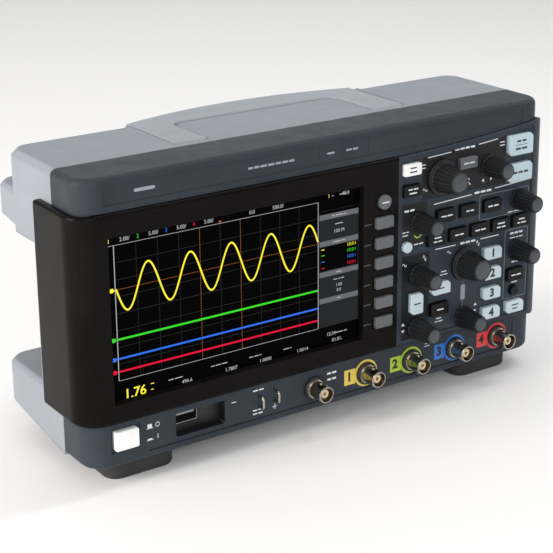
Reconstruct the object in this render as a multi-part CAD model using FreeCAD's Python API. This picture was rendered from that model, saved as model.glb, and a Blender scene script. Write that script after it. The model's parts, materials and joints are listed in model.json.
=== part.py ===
import FreeCAD, Part
import math
import os

# Benchtop four-channel oscilloscope, in millimetres.
# X runs to the right, Y to the back and Z up.  The design is drawn with the
# face of the display bezel at Y = 0 and moved to its final place on export,
# so that the origin is under the middle of the instrument, at its feet.

Vec = FreeCAD.Vector

# ---- overall sizes
WIDTH = 314.0             # over the display bezel and the control panel
SHELL_STEP = 4.0          # the bezel and panel stand out this far at the sides
HEIGHT = 168.0            # from the feet to the top of the cover
FRAME_BOTTOM = 11.4       # underside of the front frame
DEPTH_BACK = 104.0        # from the front face to the rear of the arms
KNOB_OUT = 16.5           # how far the knobs stand out from the front face
WALL = 2.5                # moulded walls
GAP = 0.3                 # clearance round keys and between shells
FIT = 0.05                # radial running clearance of a shaft in its bush

# ---- front frame
FRAME_FACE = 1.5          # its face lies this far behind the bezel's
FRAME_R = 12.8            # upright corners
EDGE_R = 3.5              # rounded front edges, top and bottom
JOINT_Y = 31.7            # where the frame meets the rear cover
STRIP_DROP = 3.8          # top of the label strip below the top of the case
STRIP_SINK = 0.5          # depth of the label strip's recess
STRIP_TALL = 10.7         # height of the label strip where it is straight
STRIP_START = 0.3         # past the left rounded corner
STRIP_END = 4.0           # before the right rounded corner
STRIP_LIFT = 1.6          # above the arch of the control panel
GROOVE = 0.8              # width and depth of the line round the socket panel
GROOVE_Z = 16.4
GROOVE_INSET = 18.5       # the groove's upright, in from the case side
GROOVE_START = 34.0       # its left end, in from the other side

# ---- display bezel and control panel
SHELL_R = 14.3            # outer upright corner of both
SHELL_T = 3.0             # thickness of their faces
SHELL_BACK = 46.3         # how far both wrap round the sides
BEZEL_BOTTOM = 36.5
BEZEL_DROP = 18.3         # top of the bezel below the top of the case
BEZEL_EDGE = 1.8          # its rounded upper and lower edges
PANEL_WIDTH = 113.5       # control panel, from the split to the outside
ARCH_RISE = 7.6           # how much the panel's top edge climbs to the right
ARCH_MID = 0.30           # share of that climb reached half way
ARCH_FALL = 3.0           # how much its bottom edge falls to the right
PANEL_R = 8.0             # its outer corners, seen from the front
PANEL_EDGE = 1.2          # its rounded front edges
INLAY_SINK = 0.6          # recess of the printed inlay
RIM = 3.0                 # frame behind the edge of the bezel
BACKING_IN = 7.0          # frame behind the shells ends here, in from the case side
BACKING_OVER = 1.5        # and laps this far past the shells' edges
RIM_SIDE = 13.0           # panel outside the inlay, at its outer side
RIM_TOP = 3.2
RIM_LEFT = 1.3

# ---- display
SCREEN_LEFT = 18.3        # from the bezel's outer side to the opening
SCREEN_W = 158.1
SCREEN_H = 90.0
SCREEN_Z = 47.1           # bottom of the opening
SILL = 1.3                # slope at the bottom of the opening
JAMB = 0.9                # slope at its other three sides
LCD_GAP = 0.4
LCD_MARGIN = 3.4          # module round the opening
LCD_T = 5.7

# ---- keys
KEY_OUT = 1.9             # keys stand this far out of the face
KEY_TRAVEL = 1.0
KEY_FLANGE = 1.0          # collar behind the face: thickness and overlap
KEY_STEM_R = 1.6
KEY_BREAK = 0.45          # rounded front edge of a key
BOARD_Y = 9.8             # face of the keypad board
BOARD_T = 1.6
DOME_H = 0.9              # contact dome under each key
DOME_GAP = 0.25           # dome to stem with the key pressed

# ---- knobs and encoders
SHAFT_R = 2.0
BUSH_R = 3.4
BUSH_END = 1.4            # the bush ends this far behind the face
ENCODER = 11.4            # square body
SHAFT_IN = 5.0            # shaft inside the bush
KNOB_LIFT = 0.6           # gap under the knob's skirt
KNOB_SIZES = {
    "small": {"base": 6.5, "tip": 4.9, "cap": 4.0, "skirt": 0.0, "flutes": 18},
    "big": {"base": 8.9, "tip": 6.7, "cap": 5.5, "skirt": 10.3, "flutes": 24},
}
SKIRT_T = 1.6
CAP_SINK = 0.5            # depth and width of the ring groove round the cap
CAP_GROOVE = 0.35
FLUTE_SHARE = 0.52        # flute's radius over half its pitch at the tip
FLUTE_OUT = 0.35          # its axis outside the knob, in flute radii
FLUTE_LENGTH = 0.93       # its length over the knob's side

# Knobs: name, distance from the split, height, size.
KNOBS = [
    ("horizontal_scale_knob", 30.7, 133.4, "big"),
    ("horizontal_position_knob", 66.5, 134.0, "small"),
    ("cursors_knob", 90.3, 109.9, "small"),
    ("entry_knob", 15.3, 109.2, "small"),
    ("math_scale_knob", 15.0, 77.5, "small"),
    ("vertical_scale_knob", 49.8, 77.7, "big"),
    ("trigger_level_knob", 90.0, 78.3, "small"),
    ("math_offset_knob", 14.6, 44.9, "small"),
    ("vertical_offset_knob", 49.6, 44.4, "small"),
]

# Keys of the control panel: name, distance from the split, height, width,
# height of the key, outline.
PANEL_KEYS = [
    ("auto_scale_key", 8.9, 141.4, 12.2, 6.9, "block"),
    ("default_setup_key", 9.0, 129.0, 12.2, 6.6, "block"),
    ("acquire_key", 49.7, 138.8, 13.0, 6.6, "block"),
    ("run_stop_key", 89.5, 143.6, 18.7, 12.4, "cut"),
    ("single_key", 89.5, 126.9, 18.7, 11.4, "cut"),
    ("analyze_key", 34.0, 110.0, 13.1, 7.6, "block"),
    ("measure_key", 51.3, 110.0, 13.1, 7.6, "block"),
    ("cursors_key", 69.2, 109.8, 13.1, 7.6, "block"),
    ("save_recall_key", 27.7, 96.9, 13.2, 7.6, "block"),
    ("utility_key", 43.7, 96.9, 13.2, 7.6, "block"),
    ("display_key", 59.8, 96.8, 13.2, 7.6, "block"),
    ("quick_action_key", 75.9, 96.7, 13.2, 7.6, "block"),
    ("save_usb_key", 92.0, 96.6, 13.2, 7.6, "block"),
    ("intensity_key", 6.1, 96.1, 6.4, 6.4, "round"),
    ("fft_key", 31.3, 66.6, 14.0, 7.8, "cut"),
    ("math_key", 13.5, 60.7, 9.2, 12.8, "cut"),
    ("help_key", 30.7, 53.6, 13.0, 7.8, "block"),
    ("channel_1_key", 70.4, 80.3, 13.9, 7.8, "cut"),
    ("channel_2_key", 70.4, 67.8, 13.9, 7.8, "cut"),
    ("channel_3_key", 70.4, 55.3, 13.9, 7.8, "cut"),
    ("channel_4_key", 70.4, 42.8, 13.9, 7.8, "cut"),
    ("trigger_key", 89.2, 63.0, 12.6, 8.0, "block"),
    ("force_key", 88.7, 53.0, 6.0, 6.0, "round"),
    ("wave_gen_key", 89.2, 42.7, 14.1, 7.8, "cut"),
]
KEY_CORNER = 1.0          # rounded corners of a block key
KEY_CUT = 2.0             # sloped corners of the others

# Keys of the display bezel.
SOFTKEY_IN = 10.3         # from the split to the middle of the column
SOFTKEY_Z = 114.2         # the top one
SOFTKEY_PITCH = 11.8
SOFTKEY_COUNT = 6
SOFTKEY_W = 12.0
SOFTKEY_H = 6.8
BACK_KEY_Z = 125.9
BACK_KEY_D = 8.4

# ---- power button
POWER_IN = 24.5           # from the outer side of the bezel
POWER_Z = 26.9
POWER_W = 13.8
POWER_H = 10.6
POWER_OUT = 2.6
POWER_TRAVEL = 2.5
POWER_DISH = 1.2          # sunk frame round the button
POWER_DISH_RIM = 1.6
POWER_GUIDE = 6.0         # sleeve behind the face
POWER_GUIDE_WALL = 1.5
POWER_EDGE = 0.9          # rounded front edge
POWER_STEM_R = 3.0
POWER_CAP = 9.0           # cap behind the frame's face
SWITCH_OUT = 8.0          # switch in front of the main board
SWITCH = 10.0             # its square body

# ---- sockets of the front panel
BNC_FROM_SPLIT = 20.7     # channel 1, left of the split
BNC_PITCH = 32.8
BNC_COUNT = 4
GEN_FROM_SPLIT = 57.1     # generator output
BNC_Z = 25.3
BNC_OUT = 11.3            # tip in front of the bezel's face
BNC_R = 4.83
BNC_BORE_R = 4.05
BNC_COLLAR_R = 5.5
BNC_COLLAR = 2.4          # collar in front of the frame's face
BNC_FLANGE_R = 6.0
BNC_HOLE_R = 6.3
BNC_LUG_R = 1.0
BNC_LUG_REACH = 5.55      # lug tips from the axis
BNC_LUG_BACK = 5.9        # lugs behind the tip
BNC_DEEP = 8.6            # bore behind the tip
BNC_CORE_R = 2.45
BNC_CORE_BACK = 2.0       # insulator ends behind the tip
BNC_PIN_R = 0.95
BNC_BODY = 13.0           # square block on the main board
USB_IN = 54.5             # recess, from the outer side of the bezel
USB_W = 30.6
USB_Z0 = 19.3
USB_Z1 = 32.7
USB_DEEP = 6.0
USB_WALL = 1.5
USB_CORNER = 1.2
USB_PORT_IN = 2.2         # socket, from the recess's left wall
USB_PORT_DROP = 2.0       # and below its upper wall
USB_PORT_W = 14.6
USB_PORT_H = 7.2
USB_PORT_L = 14.0
USB_SHEET = 0.5
TERMINAL_FROM_SPLIT = (93.6, 83.4)
TERMINAL_Z = (26.6, 27.6)
TERMINAL_R = 0.75
TERMINAL_OUT = 4.6
TERMINAL_TALL = 6.4
TERMINAL_BEND = 1.6

# ---- rear cover
TOP_BACK = 87.2           # rear of the cover's upper block
BUMP_TOP = 146.6          # the upper arm lies below this
ARM_TIP = 15.4            # height of the upper arm at its rear
ARM_SLOPE = 0.15
BAY_Y = 58.0              # rear wall between the arms
LOW_TOP = 44.0            # top of the lower arm
LOW_SLOPE = 0.14
COVER_R = 12.0
BAY_R = 4.0
TOP_CHAMFER = 3.2
ARM_CHAMFER = 2.2

# ---- handle
HANDLE_HALF = 77.0
HANDLE_ARM = 21.0
HANDLE_T = 12.0
HANDLE_TIP = 37.5         # front ends of the arms
BAR_FRONT = 80.0
BAR_ENDS = 92.0           # the bar's rear edge at the arms; it bows to the back
HANDLE_GAP = 0.5
ISLAND_DROP = 0.8         # centre of the cover below the handle's top
ISLAND_GAP = 1.0          # behind the island, for the bar's swing
PIN_R = 2.0
PIN_SEAT = 2.5            # pin in the cover at both ends
HANDLE_EDGE = 1.2

# ---- feet
FOOT_IN = 38.5            # middle of a front foot, in from the outer side
FOOT_W = 41.0
FOOT_Y = 9.0
FOOT_D = 26.0
FOOT_R = 8.0
FOOT_TAPER = 2.4
REAR_FOOT_W = 26.0
REAR_FOOT_D = 12.0
REAR_FOOT_BACK = 8.0      # behind it to the end of the arm
REAR_FOOT_R = 4.0
LEG_W = 26.0
LEG_T = 4.0
LEG_L = 34.0
LEG_PIVOT_R = 1.5
LEG_PIVOT_IN = 6.0        # pivot, in front of the foot's rear face
LEG_TAPER = 3.0           # the leg narrows by this at each side
LEG_STUB = 3.0            # pivot stubs stand into the slot
LEG_Z = 5.0
LEG_SLOT_GAP = 0.6

# ---- insides
MAIN_Y = 26.0             # face of the main board
CAN_W = 24.0              # shield can above each input socket
CAN_H = 32.0
CAN_LIFT = 10.0
CAN_OUT = 5.0
SINK_X = -40.0            # heat sink
SINK_Z = 70.0
SINK_SIZE = 32.0
SINK_BASE = 3.0
SINK_OUT = 11.0
FINS = 8
FIN_T = 1.4
CHIPS = [(-92, 78, 14), (-92, 108, 10), (-62, 112, 9), (20, 108, 9), (44, 96, 7)]
CHIP_T = 1.4
CHASSIS_Y = 33.2
CHASSIS_T = 1.0
STANDOFF_R = 4.0
SCREW_IN = 10.0           # screws, in from the case side
SCREW_Z = (52.0, 116.0)
SCREW_R = 1.6
SCREW_HEAD_R = 3.2
SCREW_HEAD_T = 2.2
SCREW_L = 12.0
INLET_X = -105.0
INLET_Z = 72.0
INLET_W = 27.2
INLET_H = 20.0
INLET_FLANGE = 3.0
INLET_FLANGE_T = 2.0
INLET_L = 19.0
INLET_WALL = 1.5
INLET_DEEP = 16.0
BLADE = (2.0, 4.0, 14.0)
BLADE_GAP = 7.0
REAR_BNC_X = 64.0
LAN_X = 92.0
USB_B_X = 117.0
REAR_Z = 62.0
LAN_SIZE = (16.0, 13.6)
USB_B_SIZE = (12.0, 11.0)
LOCK_SLOT = (7.0, 3.0)
LOCK_X = 138.0
VENTS = 21
VENT_PITCH = 6.0
VENT_W = 2.4
VENT_H = 20.0
VENT_Z = 94.0

# ---- worked out from the values above
SIDE = WIDTH / 2
CASE_SIDE = SIDE - SHELL_STEP
SPLIT_X = SIDE - PANEL_WIDTH
BEZEL_TOP = HEIGHT - BEZEL_DROP
SCREEN_X0 = -SIDE + SCREEN_LEFT
SCREEN_X1 = SCREEN_X0 + SCREEN_W
SCREEN_Z1 = SCREEN_Z + SCREEN_H
FLANGE_Y = SHELL_T + GAP
CORNER_LEFT = FRAME_FACE + FRAME_R - FLANGE_Y       # frame corner's arc behind the shells
CORNER_IN = FRAME_R - math.sqrt(FRAME_R ** 2 - CORNER_LEFT ** 2)
SHELL_INNER_R = CORNER_IN + GAP                     # clears the frame's corner
STEM_END = BOARD_Y - DOME_H - DOME_GAP - KEY_TRAVEL
PIVOT_Y = HANDLE_TIP + HANDLE_T / 2
PIVOT_Z = HEIGHT - HANDLE_T / 2
POCKET_FLOOR = HEIGHT - HANDLE_T - HANDLE_GAP
ARM_UNDER = BUMP_TOP - ARM_TIP
Y_SHIFT = (KNOB_OUT - DEPTH_BACK) / 2


# ------------------------------------------------------------ shape helpers
def box(x0, x1, y0, y1, z0, z1):
    return Part.makeBox(x1 - x0, y1 - y0, z1 - z0, Vec(x0, y0, z0))


def rod(x, z, r, y0, y1):
    """Round bar along Y."""
    return Part.makeCylinder(r, y1 - y0, Vec(x, y0, z), Vec(0, 1, 0))


def rod_x(y, z, r, x0, x1):
    """Round bar along X."""
    return Part.makeCylinder(r, x1 - x0, Vec(x0, y, z), Vec(1, 0, 0))


def rounded_face(corners, place):
    """Flat face with straight sides; a corner is (u, v, radius)."""
    edges = []
    ends = []
    for i, (u, v, radius) in enumerate(corners):
        here = Vec(u, v, 0)
        before = Vec(corners[i - 1][0], corners[i - 1][1], 0) - here
        after = Vec(*corners[(i + 1) % len(corners)][:2], 0) - here
        before.normalize()
        after.normalize()
        if radius == 0:
            ends.append((here, here, here))
            continue
        half = math.acos(before.dot(after)) / 2
        middle = before + after
        middle.normalize()
        cut = radius / math.tan(half)
        top = here + middle * (radius / math.sin(half) - radius)
        ends.append((here + before * cut, top, here + after * cut))
    for i, (start, top, end) in enumerate(ends):
        last = ends[i - 1][2]
        if (start - last).Length > 1e-6:
            edges.append(Part.makeLine(place(last), place(start)))
        if (end - start).Length > 1e-6:
            edges.append(Part.Arc(place(start), place(top), place(end)).toShape())
    return Part.Face(Part.Wire(edges))


def plan_prism(corners, z0, z1):
    """Upright prism from an outline in X and Y."""
    face = rounded_face(corners, lambda p: Vec(p.x, p.y, z0))
    return face.extrude(Vec(0, 0, z1 - z0))


def front_prism(corners, y0, y1):
    """Prism from an outline in X and Z, from y0 back to y1."""
    face = rounded_face(corners, lambda p: Vec(p.x, y0, p.y))
    return face.extrude(Vec(0, y1 - y0, 0))


def side_prism(corners, x0, x1):
    """Prism from an outline in Y and Z, from x0 to x1."""
    face = rounded_face(corners, lambda p: Vec(x0, p.x, p.y))
    return face.extrude(Vec(x1 - x0, 0, 0))


def rect(x0, x1, z0, z1, radius):
    """Corners of a rectangle."""
    return [(x0, z0, radius), (x1, z0, radius), (x1, z1, radius), (x0, z1, radius)]


def edges_on(shape, test):
    """Edges whose two ends and middle all pass the test."""
    picked = []
    for edge in shape.Edges:
        first, last = edge.ParameterRange
        points = [edge.valueAt(first + (last - first) * t) for t in (0, 0.5, 1)]
        if all(test(p) for p in points):
            picked.append(edge)
    return picked


def near(a, b):
    return abs(a - b) < 1e-4


def join(solids):
    whole = solids[0].fuse(solids[1:])
    return whole.removeSplitter()


# ------------------------------------------------------- outlines in common
def arch_outline(grow, y0, y1):
    """Front view of the control panel, grown outwards by a clearance."""
    left = SPLIT_X - grow
    right = SIDE + grow
    middle = (left + right) / 2
    low0 = BEZEL_BOTTOM - grow
    low1 = BEZEL_BOTTOM - ARCH_FALL - grow
    top0 = BEZEL_TOP + grow
    top1 = BEZEL_TOP + ARCH_RISE + grow
    low_mid = low0 + (low1 - low0) * ARCH_MID
    top_mid = top0 + (top1 - top0) * ARCH_MID
    edges = [
        Part.Arc(Vec(left, y0, low0), Vec(middle, y0, low_mid), Vec(right, y0, low1)).toShape(),
        Part.makeLine(Vec(right, y0, low1), Vec(right, y0, top1)),
        Part.Arc(Vec(right, y0, top1), Vec(middle, y0, top_mid), Vec(left, y0, top0)).toShape(),
        Part.makeLine(Vec(left, y0, top0), Vec(left, y0, low0)),
    ]
    solid = Part.Face(Part.Wire(edges)).extrude(Vec(0, y1 - y0, 0))
    corners = edges_on(solid, lambda p: near(p.x, right) and (near(p.z, low1) or near(p.z, top1)))
    return solid.makeFillet(PANEL_R, corners)


def key_outline(width, height, kind, grow, y0, y1):
    """Front view of a key about X = Z = 0, grown outwards by a clearance."""
    a = width / 2 + grow
    b = height / 2 + grow
    if kind == "round":
        return rod(0, 0, a, y0, y1)
    if kind == "block":
        return front_prism(rect(-a, a, -b, b, KEY_CORNER), y0, y1)
    c = KEY_CUT
    corners = [(-a + c, -b, 0.6), (a, -b, KEY_CORNER), (a, b - c, 0.6),
               (a - c, b, 0.6), (-a, b, KEY_CORNER), (-a, -b + c, 0.6)]
    return front_prism(corners, y0, y1)


def at(solid, x, z):
    moved = solid.copy()
    moved.translate(Vec(x, 0, z))
    return moved


def panel_key_places():
    """Every key of the panel: name, X, Z, width, height, outline."""
    return [(n, SPLIT_X + u, z, w, h, kind) for n, u, z, w, h, kind in PANEL_KEYS]


def bezel_key_places():
    x = SPLIT_X - SOFTKEY_IN
    places = [("back_key", x, BACK_KEY_Z, BACK_KEY_D, BACK_KEY_D, "round")]
    for i in range(SOFTKEY_COUNT):
        z = SOFTKEY_Z - i * SOFTKEY_PITCH
        places.append(("softkey_%d" % (i + 1), x, z, SOFTKEY_W, SOFTKEY_H, "block"))
    return places


def bnc_places():
    """X of the five front sockets, generator output first."""
    first = SPLIT_X - BNC_FROM_SPLIT
    return [SPLIT_X - GEN_FROM_SPLIT] + [first + i * BNC_PITCH for i in range(BNC_COUNT)]


def shell_plan(sign, inner_x):
    """Plan of a face that wraps round one side; sign is -1 left, +1 right."""
    side = sign * SIDE
    lining = sign * (CASE_SIDE + GAP)
    return [(inner_x, 0, 0), (side, 0, SHELL_R), (side, SHELL_BACK, 1.0),
            (lining, SHELL_BACK, 0), (lining, SHELL_T, SHELL_INNER_R), (inner_x, SHELL_T, 0)]


# ------------------------------------------------------------- front shells
def front_frame():
    face = FRAME_FACE
    outer = plan_prism([(-CASE_SIDE, face, FRAME_R), (CASE_SIDE, face, FRAME_R),
                        (CASE_SIDE, JOINT_Y, 0), (-CASE_SIDE, JOINT_Y, 0)],
                       FRAME_BOTTOM, HEIGHT)
    rounded = edges_on(outer, lambda p: p.y < JOINT_Y + 1 and (near(p.z, HEIGHT) or near(p.z, FRAME_BOTTOM)))
    rounded = [e for e in rounded if not (near(e.BoundBox.YMin, JOINT_Y))]
    outer = outer.makeFillet(EDGE_R, rounded)
    inner_r = FRAME_R - WALL
    inside = CASE_SIDE - WALL
    hollow = plan_prism([(-inside, face + WALL, inner_r), (inside, face + WALL, inner_r),
                         (inside, JOINT_Y + 1, 0), (-inside, JOINT_Y + 1, 0)],
                        FRAME_BOTTOM + WALL, HEIGHT - WALL)
    rebate_y = SHELL_T + GAP
    rebates = [box(-SIDE - 1, SPLIT_X, -1, rebate_y, BEZEL_BOTTOM - GAP, BEZEL_TOP + GAP),
               arch_outline(GAP, -1, rebate_y)]
    backing_x = CASE_SIDE - BACKING_IN
    backing = box(-backing_x, backing_x, rebate_y, rebate_y + WALL,
                  BEZEL_BOTTOM - ARCH_FALL - BACKING_OVER, BEZEL_TOP + ARCH_RISE + BACKING_OVER)
    frame = outer.cut(hollow).fuse(backing).cut(rebates)
    open_x = max(x + w / 2 for _, x, _, w, _, _ in panel_key_places()) + KEY_FLANGE + GAP
    panel_window = box(SPLIT_X + GAP, open_x, 0, JOINT_Y, 0, HEIGHT)
    windows = [
        box(-open_x, SPLIT_X - RIM, 0, JOINT_Y, BEZEL_BOTTOM + RIM, BEZEL_TOP - RIM),
        panel_window.common(arch_outline(-BACKING_OVER, -1, JOINT_Y + 1)),
    ]
    frame = frame.cut(windows)
    frame = frame.cut([label_recess(), socket_groove()] + front_holes())
    return join([frame, power_guide(), usb_well()])


def label_recess():
    """Recess of the label strip; it ends above the arch of the panel."""
    x0 = -CASE_SIDE + FRAME_R + STRIP_START
    x1 = CASE_SIDE - FRAME_R - STRIP_END
    strip_top = HEIGHT - STRIP_DROP
    strip = front_prism(rect(x0, x1, strip_top - STRIP_TALL, strip_top, 0.6),
                        FRAME_FACE - 1, FRAME_FACE + STRIP_SINK)
    return strip.cut(arch_outline(STRIP_LIFT, FRAME_FACE - 2, FRAME_FACE + 2))


def socket_groove():
    """Line round the socket panel: along the bottom and up at the right."""
    x1 = CASE_SIDE - GROOVE_INSET
    x0 = -CASE_SIDE + GROOVE_START
    y0 = FRAME_FACE - 1
    y1 = FRAME_FACE + GROOVE
    along = box(x0, x1, y0, y1, GROOVE_Z - GROOVE / 2, GROOVE_Z + GROOVE / 2)
    up = box(x1 - GROOVE, x1, y0, y1, GROOVE_Z - GROOVE / 2, BEZEL_BOTTOM - ARCH_FALL - BACKING_OVER)
    return along.fuse(up)


def front_holes():
    """Holes of the frame for the button, the recess and the sockets."""
    power_x = -SIDE + POWER_IN
    back = SHELL_T + GAP + WALL + 0.1
    rim = POWER_DISH_RIM
    dish = key_outline(POWER_W, POWER_H, "block", rim, FRAME_FACE - 1, FRAME_FACE + POWER_DISH)
    power = key_outline(POWER_W, POWER_H, "block", GAP, FRAME_FACE - 1, back)
    usb_x = -SIDE + USB_IN
    usb = front_prism(rect(usb_x, usb_x + USB_W, USB_Z0, USB_Z1, USB_CORNER), FRAME_FACE - 1, back)
    holes = [at(dish, power_x, POWER_Z), at(power, power_x, POWER_Z), usb]
    holes += [rod(x, BNC_Z, BNC_HOLE_R, FRAME_FACE - 1, back) for x in bnc_places()]
    for x, z in terminal_places():
        for end in (-1, 1):
            holes.append(rod(x, z + end * TERMINAL_TALL / 2, TERMINAL_R + FIT, FRAME_FACE - 1, back))
    return holes


def power_guide():
    """Sleeve behind the face that guides the power button."""
    x = -SIDE + POWER_IN
    y0 = FRAME_FACE + WALL
    y1 = y0 + POWER_GUIDE
    sleeve = key_outline(POWER_W, POWER_H, "block", GAP + POWER_GUIDE_WALL, y0 - 0.5, y1)
    bore = key_outline(POWER_W, POWER_H, "block", GAP, y0 - 2, y1 + 1)
    return at(sleeve.cut(bore), x, POWER_Z)


def usb_well():
    """Recess of the USB socket, with a hole in its floor for the socket."""
    x0 = -SIDE + USB_IN
    x1 = x0 + USB_W
    floor = FRAME_FACE + USB_DEEP
    w = USB_WALL
    well = front_prism(rect(x0 - w, x1 + w, USB_Z0 - w, USB_Z1 + w, USB_CORNER + w),
                       FRAME_FACE + WALL - 0.5, floor + w)
    hollow = front_prism(rect(x0, x1, USB_Z0, USB_Z1, USB_CORNER), FRAME_FACE - 1, floor)
    px0, px1, pz0, pz1 = usb_port_box()
    port = box(px0 - GAP, px1 + GAP, floor - 1, floor + 3, pz0 - GAP, pz1 + GAP)
    return well.cut([hollow, port])


def usb_port_box():
    x0 = -SIDE + USB_IN + USB_PORT_IN
    z1 = USB_Z1 - USB_PORT_DROP
    return x0, x0 + USB_PORT_W, z1 - USB_PORT_H, z1


def terminal_places():
    return [(SPLIT_X - u, z) for u, z in zip(TERMINAL_FROM_SPLIT, TERMINAL_Z)]


def shell_edges(solid, test):
    """Outer front edges of a shell, along its top and its bottom."""
    return edges_on(solid, lambda p: p.y < SHELL_BACK - 2 and test(p))


def display_bezel():
    plan = plan_prism(shell_plan(-1, SPLIT_X - 0.1), BEZEL_BOTTOM, BEZEL_TOP)
    rim = edges_on(plan, lambda p: on_left_skin(p) and (near(p.z, BEZEL_BOTTOM) or near(p.z, BEZEL_TOP)))
    shell = plan.makeFillet(BEZEL_EDGE, rim)
    front = rect_wire(SCREEN_X0, SCREEN_X1, SCREEN_Z, SCREEN_Z1, -0.01)
    back = rect_wire(SCREEN_X0 + JAMB, SCREEN_X1 - JAMB, SCREEN_Z + SILL, SCREEN_Z1 - JAMB,
                     SHELL_T + 0.01)
    holes = [Part.makeLoft([front, back], True, True)]
    for _, x, z, w, h, kind in bezel_key_places():
        holes.append(at(key_outline(w, h, kind, GAP, -1, SHELL_T + 1), x, z))
    return shell.cut(holes)


def on_left_skin(p):
    """True on the outer side of the bezel: its face, corner and side."""
    centre = Vec(-SIDE + SHELL_R, SHELL_R, p.z)
    on_corner = near((p - centre).Length, SHELL_R) and p.x < centre.x and p.y < centre.y
    return near(p.y, 0) or near(p.x, -SIDE) or on_corner


def rect_wire(x0, x1, z0, z1, y):
    corners = [Vec(x0, y, z0), Vec(x1, y, z0), Vec(x1, y, z1), Vec(x0, y, z1)]
    return Part.makePolygon(corners + corners[:1])


def control_panel():
    top = BEZEL_TOP + ARCH_RISE + 1
    plan = plan_prism(shell_plan(1, SPLIT_X + 0.1), BEZEL_BOTTOM - ARCH_FALL - 1, top)
    front = arch_outline(0, 0, SHELL_BACK + 1)
    rim = edges_on(front, lambda p: near(p.y, 0))
    front = front.makeFillet(PANEL_EDGE, [e for e in rim if e.BoundBox.XMax > SPLIT_X + 1])
    shell = plan.common(front)
    inlay_x0 = SPLIT_X + RIM_LEFT
    inlay_x1 = SIDE - RIM_SIDE
    inlay = front_prism(rect(inlay_x0, inlay_x1, BEZEL_BOTTOM - ARCH_FALL, top, 1.0), -1, INLAY_SINK)
    inlay = inlay.common(arch_outline(-RIM_TOP, -2, 2)).common(box(inlay_x0, inlay_x1, -2, 2, 0, top))
    holes = [inlay]
    for _, x, z, w, h, kind in panel_key_places():
        holes.append(at(key_outline(w, h, kind, GAP, -1, SHELL_T + 1), x, z))
    for _, u, z, _ in KNOBS:
        holes.append(rod(SPLIT_X + u, z, BUSH_R + GAP, -1, SHELL_T + 1))
    return shell.cut(holes)


# ------------------------------------------------------------ keys and knobs
def key(width, height, kind):
    """Key cap, retaining collar and stem, about X = Z = 0."""
    cap = key_outline(width, height, kind, 0, -KEY_OUT, FLANGE_Y)
    front = edges_on(cap, lambda p: near(p.y, -KEY_OUT))
    cap = cap.makeFillet(KEY_BREAK, front)
    collar = key_outline(width, height, kind, KEY_FLANGE, FLANGE_Y, FLANGE_Y + KEY_FLANGE)
    stem = rod(0, 0, KEY_STEM_R, FLANGE_Y + KEY_FLANGE, STEM_END)
    return join([cap, collar, stem])


def power_button():
    cap_end = FRAME_FACE + POWER_CAP
    cap = key_outline(POWER_W, POWER_H, "block", 0, FRAME_FACE - POWER_OUT, cap_end)
    front = edges_on(cap, lambda p: near(p.y, FRAME_FACE - POWER_OUT))
    cap = cap.makeFillet(POWER_EDGE, front)
    stem = rod(0, 0, POWER_STEM_R, cap_end, MAIN_Y - SWITCH_OUT - POWER_TRAVEL)
    return at(join([cap, stem]), -SIDE + POWER_IN, POWER_Z)


def knob(size):
    """Fluted tapered knob with a ring round its cap, about X = Z = 0."""
    base = size["base"]
    tip = size["tip"]
    y0 = -KNOB_OUT
    y1 = -KNOB_LIFT
    body = Part.makeCone(tip, base, y1 - y0, Vec(0, y0, 0), Vec(0, 1, 0))
    body = body.makeFillet(0.6, edges_on(body, lambda p: near(p.y, y0)))
    flute_r = math.pi * tip / size["flutes"] * FLUTE_SHARE
    slope = Vec(0, y1 - y0, 0) + Vec(base - tip, 0, 0)
    start = Vec(tip + flute_r * FLUTE_OUT, y0, 0) - slope * 0.05
    flute = Part.makeCylinder(flute_r, slope.Length * FLUTE_LENGTH, start, slope)
    flutes = []
    for i in range(size["flutes"]):
        turned = flute.copy()
        turned.rotate(Vec(0, 0, 0), Vec(0, 1, 0), 360.0 * i / size["flutes"])
        flutes.append(turned)
    groove = rod(0, 0, size["cap"] + CAP_GROOVE, y0 - 1, y0 + CAP_SINK)
    groove = groove.cut(rod(0, 0, size["cap"], y0 - 2, y0 + 2))
    body = body.cut(flutes + [groove])
    pieces = [body]
    if size["skirt"]:
        skirt = rod(0, 0, size["skirt"], y1 - SKIRT_T, y1)
        skirt = skirt.makeFillet(0.7, edges_on(skirt, lambda p: near(p.y, y1 - SKIRT_T)))
        pieces.append(skirt)
    pieces.append(rod(0, 0, SHAFT_R, y1 - 1, BUSH_END + SHAFT_IN))
    return join(pieces)


# ------------------------------------------------------------ rear enclosure
def cover_block(y_back, z0, z1, radius, inset, chamfer):
    """One level of the cover: straight sides and rounded rear corners."""
    side = CASE_SIDE - inset
    front = JOINT_Y - (1 if inset else 0)
    block = plan_prism([(-side, front, 0), (side, front, 0), (side, y_back - inset, radius),
                        (-side, y_back - inset, radius)], z0, z1)
    if chamfer:
        rim = edges_on(block, lambda p: near(p.z, z1))
        rim = [e for e in rim if e.BoundBox.YMax > front + 1]
        block = block.makeChamfer(chamfer, rim)
    return block


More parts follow.
